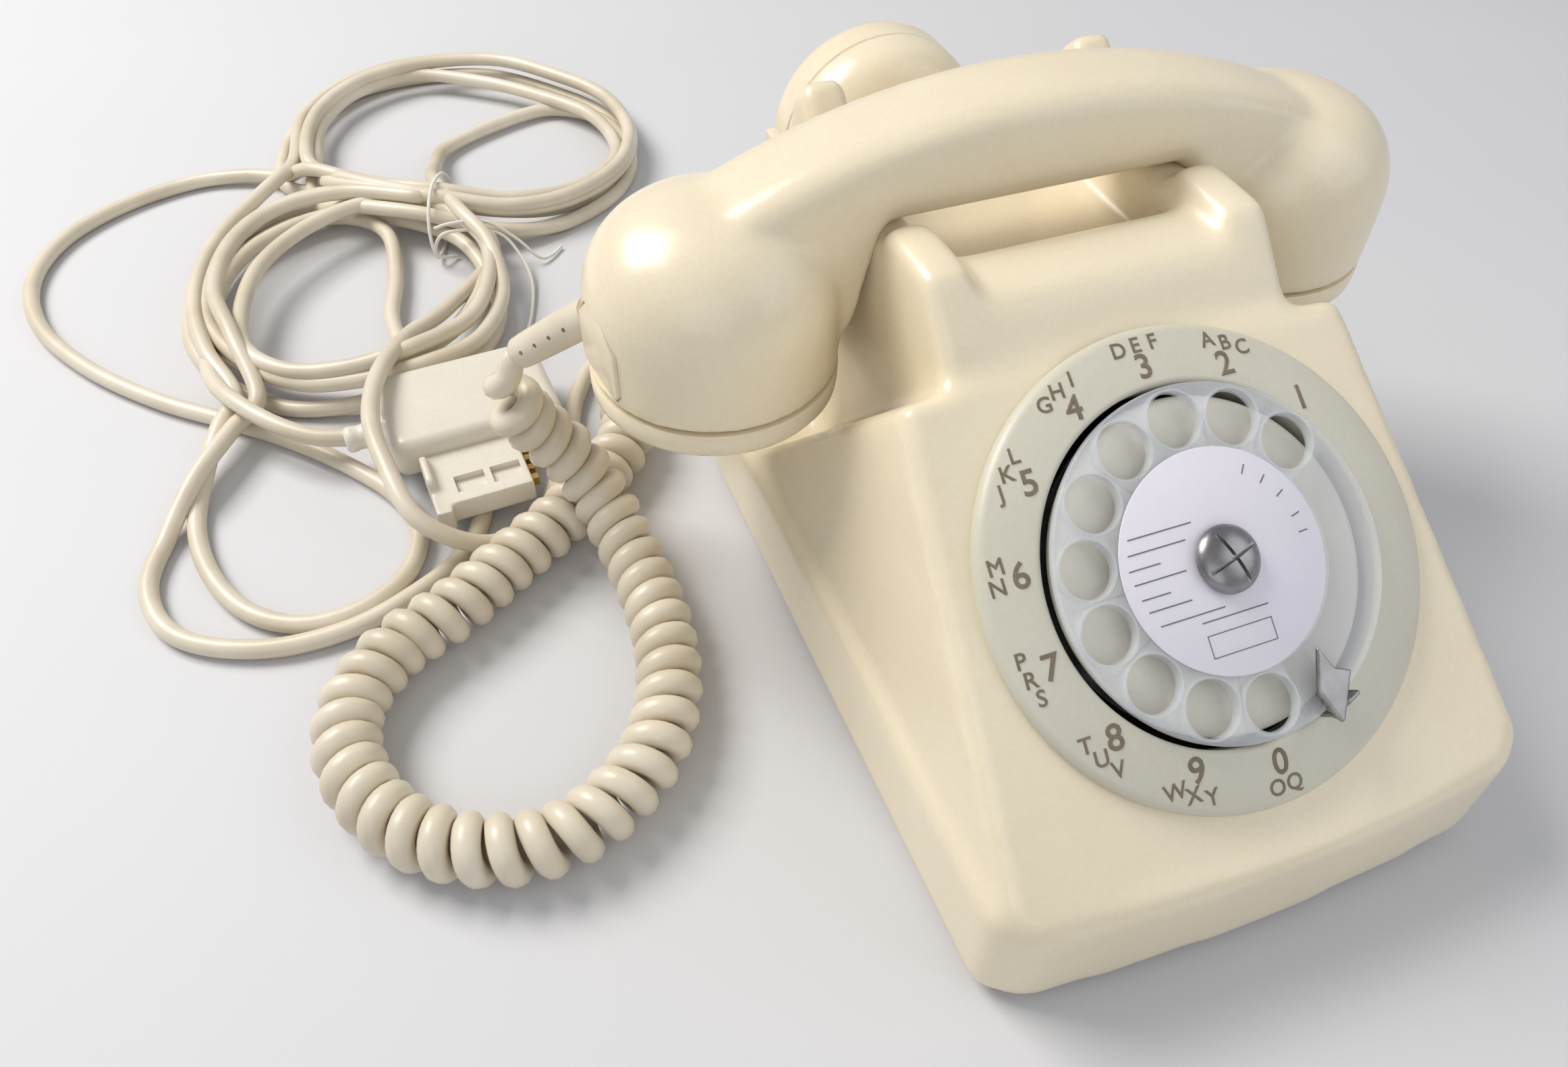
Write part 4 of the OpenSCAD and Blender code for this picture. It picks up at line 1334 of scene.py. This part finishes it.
@dataclass
class Dial:
    """Number ring, plate, clear finger wheel, card, centre screw and finger stop."""

    wheel_radius: float = 39.0
    hole_radius: float = 31.5
    hole_size: float = 6.1
    first_hole: float = 40.8
    hole_step: float = 25.6
    ring_crest: tuple[float, float] = (41.3, 4.6)
    ring_fall: float = 0.124
    ring_slope: float = 7.1
    digit_circle: float = 44.6
    digit_size: float = 8.0
    letter_circle: float = 49.7
    letter_size: float = 5.0
    letter_step: float = 5.0
    upper_labels: int = 5
    stop_angle: float = -67.0
    labels: tuple[tuple[str, str], ...] = (
        ("1", ""), ("2", "ABC"), ("3", "DEF"), ("4", "GHI"), ("5", "JKL"), ("6", "MN"), ("7", "PRS"),
        ("8", "TUV"), ("9", "WXY"), ("0", "OQ"),
    )

    def _angle(self, index: int) -> float:
        """Angle of a finger hole and its label, in degrees."""
        return self.first_hole + self.hole_step * index

    def _hole_centre(self, index: int) -> tuple[float, float]:
        """A finger hole's centre in the dial's plane, in mm."""
        a = math.radians(self._angle(index))
        return self.hole_radius * math.cos(a), self.hole_radius * math.sin(a)

    def _ring(self, paints: Paints) -> None:
        """The number ring."""
        piece = turned(
            "dial_ring",
            [(39.9, -5), (39.9, 3.9), (40.1, 4.4), (40.6, 4.65), self.ring_crest, (51.8, 3.3), (52.8, 2.8),
             (53.4, 2.1), (53.7, 1.5), (53.7, -0.2), (40.6, -0.2), (40.6, -5), (39.9, -5)],
            192,
        )
        shade(move(piece, DIAL_PLACE), 50)
        paints.dress(piece, RING)
        file_piece(piece, Body.CASE, Slot.RING, "number_ring")

    def _labels(self, paints: Paints) -> None:
        """Digits and letters printed on the ring; in its upper half the letters run clockwise."""
        parts = []
        crest, top = self.ring_crest

        def put(text: str, size: float, circle: float, angle: float) -> None:
            """Prints one character, upright, at an angle on a circle."""
            mark = lettering("mark", text, size, 0.12)
            height = top - (circle - crest) * self.ring_fall + 0.02
            spot = shift(circle, 0, height) @ turn(self.ring_slope, "Y")
            move(mark, DIAL_PLACE @ turn(angle, "Z") @ spot @ turn(-angle, "Z"))
            parts.append(mark)

        for i, (digit, letters) in enumerate(self.labels):
            angle = self._angle(i)
            put(digit, self.digit_size, self.digit_circle, angle)
            reading = -1 if i < self.upper_labels else 1
            for k, letter in enumerate(letters):
                offset = (k - (len(letters) - 1) / 2) * self.letter_step * reading
                put(letter, self.letter_size, self.letter_circle, angle + offset)
        piece = join("dial_print", parts)
        paints.dress(piece, PRINT)
        file_piece(piece, Body.CASE, Slot.RING)

    def _plate(self, paints: Paints) -> None:
        """The plate seen through the wheel, dished at its rim."""
        piece = turned(
            "dial_dish",
            [(4.5, 1.4), (4.5, 3.3), (30, 3.4), (35.6, 3.3), (36.8, 2.8), (37.3, 2.1), (37.3, 1.4), (4.5, 1.4)],
            128,
        )
        shade(move(piece, DIAL_PLACE), 50)
        paints.dress(piece, PLATE)
        file_piece(piece, Body.CASE, Slot.RING, "dial_plate", "dial_screws")

    def _wheel(self, paints: Paints) -> None:
        """The clear wheel with ten holes; its rims are marked with the mask of the painted highlight that the
        finish reads.
        """
        r = self.wheel_radius
        piece = turned(
            "clear_wheel",
            [(4.5, 5.8), (r - 0.5, 5.8), (r, 6.3), (r, 7.6), (r - 0.3, 8.1), (r - 0.6, 8.2), (4.5, 8.2),
             (4.5, 5.8)],
            160,
        )
        lips = []
        size = self.hole_size
        centres = [self._hole_centre(i) for i in range(len(self.labels))]
        for x, y in centres:
            cut_with(piece, rod("finger_hole", size + 0.5, (x, y, 0), (x, y, 20), 48))
            lip = turned(
                "lip",
                [(size, 5.9), (size + 0.75, 5.9), (size + 0.75, 8.0), (size + 0.6, 8.35), (size + 0.2, 8.35),
                 (size, 8.0), (size, 5.9)],
                48,
            )
            lips.append(move(lip, shift(x, y, 0)))
        piece = join("clear_wheel", [piece, *lips])
        # Painted highlight mask: 1 on the outer rim and on each hole's lip, falling off inwards.
        rim = piece.data.attributes.new("rim", "FLOAT", "POINT")
        for vertex, value in zip(piece.data.vertices, rim.data):
            spot = vertex.co / MM
            radius = math.hypot(spot.x, spot.y)
            edge_highlight = max(0.0, 1 - (r - radius) / 1.8)
            for x, y in centres:
                near = math.hypot(spot.x - x, spot.y - y)
                edge_highlight = max(edge_highlight, 1 - abs(near - size - 0.4))
            value.value = min(1.0, max(0.0, edge_highlight))
        shade(move(piece, DIAL_PLACE), 30)
        paints.dress(piece, CLEAR)
        file_piece(piece, Body.DIAL, Slot.CLEAR, "finger_wheel")

    def _card(self, paints: Paints) -> None:
        """The paper card with ruled lines, ticks and an empty box, under its window."""
        card = turned(
            "dial_card", [(4.4, 8.2), (4.4, 8.55), (24.3, 8.55), (24.5, 8.4), (24.3, 8.2), (4.4, 8.2)], 128
        )
        shade(move(card, DIAL_PLACE), 50)
        paints.dress(card, CARD)
        file_piece(card, Body.DIAL, Slot.CARD, "number_card")
        marks = []

        def rule(x0: float, x1: float, y0: float, y1: float) -> None:
            """One printed bar."""
            marks.append(block("rule", (x0, y0, 8.5), (x1, y1, 8.62)))

        for x, y, length in (
            (-20.5, 9.6, 15.5), (-21.5, 6.4, 14.0), (-22.3, 3.2, 7.6), (-22.0, 0.2, 12.6), (-21.4, -3.2, 7.0),
            (-20.6, -6.0, 10.4), (-19.0, -9.4, 15.8), (-9.6, -11.4, 16.4),
        ):
            rule(x, x + length, y - 0.14, y + 0.14)
        left, right, low, high = -9.4, 6.6, -19.2, -14.2
        rule(left, right, high - 0.22, high)
        rule(left, right, low, low + 0.22)
        rule(left, left + 0.22, low, high)
        rule(right - 0.22, right, low, high)
        for angle in (58, 44, 30, 14, 3):
            mark = block("tick", (19.4, -0.14, 8.5), (21.6, 0.14, 8.62))
            marks.append(move(mark, turn(angle, "Z")))
        piece = join("card_print", marks)
        move(piece, DIAL_PLACE)
        paints.dress(piece, CARD_PRINT)
        file_piece(piece, Body.DIAL, Slot.CARD)

    def _screw(self, paints: Paints) -> None:
        """The domed centre screw with its crossed slots."""
        piece = turned(
            "cross_screw",
            [(0, 9.4), (7.1, 9.4), (7.5, 9.8), (7.35, 10.5), (6.7, 11.3), (5.6, 12.0), (4.0, 12.6),
             (2.0, 12.95), (0, 13.05)],
            64,
        )
        for angle in (18, 112):
            slot = block("slot", (-6.5, -0.4, 11.6), (6.5, 0.4, 15))
            cut_with(piece, move(slot, turn(angle, "Z")))
        shade(move(piece, DIAL_PLACE), 35)
        paints.dress(piece, STEEL)
        file_piece(piece, Body.DIAL, Slot.STEEL, "centre_screw")

    def _stop(self, paints: Paints) -> None:
        """The bent steel finger stop: a foot on the ring, a web and a pointed blade."""
        finger = block("stop_finger", (25.0, -3, 9.9), (36.0, 3.4, 11.0))
        trim(finger, (25.2, 1.3, 0), (-1.8, -5.4, 0))
        trim(finger, (25.2, 2.2, 0), (-1, 0, 0))
        trim(finger, (25.9, 3.4, 0), (-1, 1.4, 0))
        fan = block("stop_fan", (30.4, -3, 9.9), (42.0, 8, 11.0))
        trim(fan, (31.5, 2.9, 0), (-3.4, 9.1, 0))
        trim(fan, (41.3, -1.4, 0), (7.6, 0.8, 0))
        for plate in (finger, fan):
            trim(plate, (30.7, -0.7, 0), (-0.9, -10.5, 0))
        lip = block("stop_lip", (33.6, -2.7, 8.9), (41.2, -1.1, 10.2))
        wall = block("stop_wall", (39.3, -2.0, 3.0), (40.5, 5.2, 10.4))
        ribs = [block("rib", (x, -3.3, 8.9), (x + 0.9, -1.2, 10.3)) for x in (34.0, 35.9, 37.8, 39.7)]
        root = [block("root", (39.3, y, 3.0), (40.9, y + 0.9, 9.4)) for y in (-2.7, -0.8, 1.1)]
        piece = melt(join("stop_arm", [finger, fan, lip, wall, *ribs, *root]), 0.28, 4)
        shade(move(piece, DIAL_PLACE @ turn(self.stop_angle, "Z")), 45)
        paints.dress(piece, STEEL)
        file_piece(piece, Body.CASE, Slot.STEEL, "finger_stop")

    def build(self, paints: Paints) -> None:
        """Builds every piece of the dial."""
        self._ring(paints)
        self._labels(paints)
        self._plate(paints)
        self._wheel(paints)
        self._card(paints)
        self._screw(paints)
        self._stop(paints)


# ---------------------------------------------------------------- handset


@dataclass
class Handset:
    """Arched handset with its caps, clamp plate and strain relief."""

    cup_x: float = 79.0
    cup_radius: float = 31.0
    grip_y: float = GRIP_Y
    grip_half: float = 15.0
    crown: float = 138.0
    crown_radius: float = 190.0
    under: float = 112.9
    seam: float = 78.0
    dome: float = 121.5
    pin_turn: float = 104.0
    clamp_width: float = 21.0
    clamp_angle: float = 187.0
    voxel: float = 1.2
    passes: int = 12

    def _grip(self) -> bpy.types.Object:
        """The arched grip: a long block, cut into stations and bent to the arch."""
        h = self.grip_half
        reach = self.cup_x + 13
        piece = block("grip", (-reach, self.grip_y - h, 84), (reach, self.grip_y + h, 120))
        pick_edges(piece, lambda a, b: abs(a.x - b.x) > 50)
        bpy.ops.mesh.subdivide(number_cuts=69)
        close_edit()
        inner = self.cup_x - self.cup_radius
        for vertex in piece.data.vertices:
            spot = vertex.co / MM
            if spot.z > 100:
                height = self.crown - self.crown_radius + math.sqrt(self.crown_radius**2 - spot.x**2)
            else:
                past = (abs(spot.x) - (inner - 9)) / 9
                height = self.under - 26 * min(1.0, max(0.0, past)) ** 2.2
            vertex.co.z = height * MM

        def along_crown(a: Vector, b: Vector) -> bool:
            """True for the long edges at the top of both sides."""
            on_top = min(a.z, b.z) > 104 and abs(a.y - b.y) < 1
            return on_top and abs(abs(a.y - self.grip_y) - h) < 0.1 and abs(a.x - b.x) > 0.5

        return round_edges(piece, along_crown, 7.0, 2)

    def _cup(self, side: int) -> bpy.types.Object:
        """One closed cup with its domed back."""
        r = self.cup_radius
        shoulder, rise = 95.0, self.dome - 95.0
        profile = [(0, self.seam), (r, self.seam), (r, shoulder)]
        for step in range(1, 13):
            share = math.sin(math.pi / 2 * step / 12)
            profile.append((r * (1 - share**2.3) ** (1 / 2.3), shoulder + rise * share))
        return move(turned("cup", profile, 96), shift(side * self.cup_x, self.grip_y, 0))

    def _body(self, paints: Paints) -> None:
        """Grip and cups melted together, then the room for the capsules and the clamp cut out."""
        r = self.cup_radius
        parts = [self._grip(), self._cup(-1), self._cup(1)]
        piece = melt(join("handset_shell", parts), self.voxel, self.passes)
        for side in (-1, 1):
            x = side * self.cup_x
            cut_with(piece, rod("hollow", r - 3, (x, self.grip_y, 70), (x, self.grip_y, 95), 64))
        pocket = self._clamp_shape("pocket", r - 2.2, r + 4, 0.35)
        cut_with(piece, pocket)
        shade(piece, 50)
        paints.dress(piece, IVORY)
        file_piece(piece, Body.HANDSET, Slot.IVORY, "handset_body")

    def _caps(self, paints: Paints) -> None:
        """The screwed caps with their sound holes."""
        r = self.cup_radius
        for side, name, node, holes in ((-1, "mouth_cover", "mouth_cap", 12), (1, "ear_cover", "ear_cap", 10)):
            profile = [(0, 71.4), (12, 71.2), (22, 70.5), (26, 70.0), (r - 3, 70.1), (r - 1.2, 70.9),
                       (r - 0.2, 72.4), (r, 74), (r, 77.2), (r - 0.4, 77.7), (r - 4, 77.7), (r - 4, 74.4),
                       (0, 74.4)]
            piece = turned(name, profile, 96)
            drill_rings(piece, ((13, holes), (6, holes // 2)), 60, 80)
            shade(move(piece, shift(side * self.cup_x, self.grip_y, 0)), 40)
            paints.dress(piece, IVORY)
            file_piece(piece, Body.HANDSET, Slot.IVORY, node)

    def _clamp_shape(self, name: str, inner: float, outer: float, spare: float) -> bpy.types.Object:
        """The clamp's six-sided outline as a block on the left cup.

        Args:
            name: The object's name.
            inner: Inner face's distance from the cup's axis, in mm.
            outer: Outer face's distance, in mm.
            spare: Extra room round the outline, in mm.

        Returns:
            The block in its place.
        """
        half, low, high = self.clamp_width / 2 + spare, 81.0 - spare, 100.5 + spare
        piece = block(name, (inner, -half, low), (outer, half, high))
        for side in (-1, 1):
            trim(piece, (0, side * (half - 6), high), (0, side, 1))
            trim(piece, (0, side * (half - 1.5), low), (0, side, -0.7))
        return move(piece, shift(-self.cup_x, self.grip_y, 0) @ turn(self.clamp_angle, "Z"))

    def _clamp(self, paints: Paints) -> None:
        """The six-sided clamp plate let into the cup's end."""
        r = self.cup_radius
        piece = self._clamp_shape("clamp_cover", r - 3.2, r - 0.9, 0)
        round_edges(piece, lambda a, b: (b - a).length > 2, 0.5, 2)
        shade(piece, 40)
        paints.dress(piece, IVORY)
        file_piece(piece, Body.HANDSET, Slot.IVORY, "cord_clamp_plate")

    def _relief(self, paints: Paints) -> None:
        """The tapered strain relief with its row of pin holes."""
        piece = turned(
            "relief_sleeve",
            [(0, 0), (4.6, 0), (4.9, 4), (4.8, 14), (4.5, 26), (4.3, 29.2), (3.8, 30.0), (0, 30.0)], 48,
        )
        for z in (6.5, 12.5, 18.5, 24.5):
            cut_with(piece, rod("pin_hole", 0.65, (1.2, 0, z), (6, 0, z), 16))
        place = shift(-105.5, 45.8, 86) @ turn(139, "Z") @ turn(129, "Y") @ turn(self.pin_turn, "Z")
        shade(move(piece, place), 45)
        paints.dress(piece, VINYL)
        file_piece(piece, Body.HANDSET, Slot.CORD, "handset_relief")

    def build(self, paints: Paints) -> None:
        """Builds every piece of the handset."""
        self._body(paints)
        self._caps(paints)
        self._clamp(paints)
        self._relief(paints)


# ---------------------------------------------------------------- listener


@dataclass
class Listener:
    """The second earpiece behind the case and its holder."""

    centre_z: float = 83.0
    radius: float = 30.5
    front_y: float = 92.2
    seam_y: float = 107.8
    rear_y: float = 121.8

    def _place(self) -> Matrix:
        """From a turned piece's axis to the listener's, which runs back along Y."""
        return shift(0, self.front_y, self.centre_z) @ turn(-90, "X")

    def build(self, paints: Paints) -> None:
        """Builds the shell, its cap and the holder."""
        r, seam = self.radius, self.seam_y - self.front_y
        shell = turned(
            "listener_shell",
            [(0, 0), (18, 0), (22, 0.5), (25.4, 2.2), (28.0, 4.8), (29.6, 8.0), (30.3, 11.4), (r, 13.5),
             (r, seam - 0.35), (r - 0.5, seam), (r - 4, seam), (r - 4, seam - 5), (24, 6), (14, 3), (0, 3)],
            96,
        )
        shade(move(shell, self._place()), 50)
        paints.dress(shell, IVORY)
        file_piece(shell, Body.LISTENER, Slot.IVORY, "listener_body")
        cap = turned(
            "listener_cover",
            [(0, 9), (24, 9), (r - 3, 5), (r - 3, 0.3), (r - 0.5, 0.3), (r, 0.8), (r, 8), (r - 0.6, 10.6),
             (r - 2.2, 12.8), (r - 4.6, 13.9), (24, 13.9), (18, 12.8), (12, 12.2), (0, 11.8)],
            96,
        )
        drill_rings(cap, ((11, 10), (5, 5)), -5, 18)
        shade(move(cap, self._place() @ shift(0, 0, seam)), 40)
        paints.dress(cap, IVORY)
        file_piece(cap, Body.LISTENER, Slot.IVORY, "listener_cap")
        self._holder(paints)

    def _holder(self, paints: Paints) -> None:
        """The bracket: plate, ledge and two arms with rounded edges."""
        low = 49.2
        parts = [
            block("plate", (-36.5, 88.8, low), (36.5, 91.4, low + 18)),
            block("ledge", (-33, 88.8, low), (33, 108.8, low + 3)),
        ]
        for side in (-1, 1):
            x0, x1 = sorted((side * 32.5, side * 36.5))
            parts.append(block("arm", (x0, 88.8, low), (x1, 108.8, low + 42)))
        piece = melt(join("listener_holder", parts), 0.7, 3)
        shade(piece, 50)
        paints.dress(piece, IVORY)
        file_piece(piece, Body.CASE, Slot.IVORY, "listener_bracket")


# ---------------------------------------------------------------- plug


@dataclass
class Plug:
    """The line plug lying in front of the bundle."""

    place: Point = (-143, 109, 5.7)
    turn_angle: float = 3.0

    def _at(self) -> Matrix:
        """From the plug's own frame to its place on the table."""
        return shift(*self.place) @ turn(self.turn_angle, "Z")

    def build(self, paints: Paints) -> None:
        """Builds the shell with its collar, and the flat block with the windows, tab and fin."""
        core = block("plug_core", (-21, -18, 0), (33, 20, 14))
        round_edges(core, lambda a, b: True, 4.0, 3)
        outline = [
            (0, 0), (3.2, 0), (4.3, 0.6), (4.4, 3.0), (3.6, 4.0), (4.6, 8.0), (6.6, 13), (6.6, 16), (0, 16),
        ]
        cord_end = shift(-33, 0, 7) @ turn(90, "Y")
        collar = move(turned("collar", outline, 48), cord_end)
        shell = melt(join("plug_shell", [core, collar]), 0.8, 5)
        cut_with(shell, move(rod("bore", 2.7, (0, 0, -3), (0, 0, 8), 32), cord_end))
        shade(move(shell, self._at()), 50)
        paints.dress(shell, PLUG)
        file_piece(shell, Body.CASE, Slot.IVORY, "plug_body")
        flat = block("plug_flat", (-14, -41, 0), (16, -17, 8))
        tab = block("tab", (-14, -44, 0), (-9, -40, 8))
        fin = block("fin", (-14, -34, 7), (-11.6, -20, 12))
        round_edges(fin, lambda a, b: abs(a.x - b.x) > 1 and min(a.z, b.z) > 10, 3.0, 4)
        flat = melt(join("plug_flat", [flat, tab, fin]), 0.6, 3)
        for x in (-6, 5):
            cut_with(flat, block("window", (x, -37, 6), (x + 9, -30, 12)))
        shade(move(flat, self._at()), 45)
        paints.dress(flat, PLUG)
        file_piece(flat, Body.CASE, Slot.IVORY, "plug_blade")


def main() -> None:
    """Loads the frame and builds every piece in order."""
    logging.basicConfig(level=logging.INFO, format="%(name)s: %(message)s")
    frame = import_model()
    paints = Paints()
    paints.dress_nodes(frame["nodes"])
    studio = Studio()
    studio.make_camera()
    studio.make_floor()
    studio.make_lights()
    CurlyCord().build(paints)
    TieString().build(paints)
    Plug().build(paints)
    LineCord().build(paints)
    Dial().build(paints)
    Listener().build(paints)
    Handset().build(paints)
    Case().build(paints)


if __name__ == "__main__":
    main()
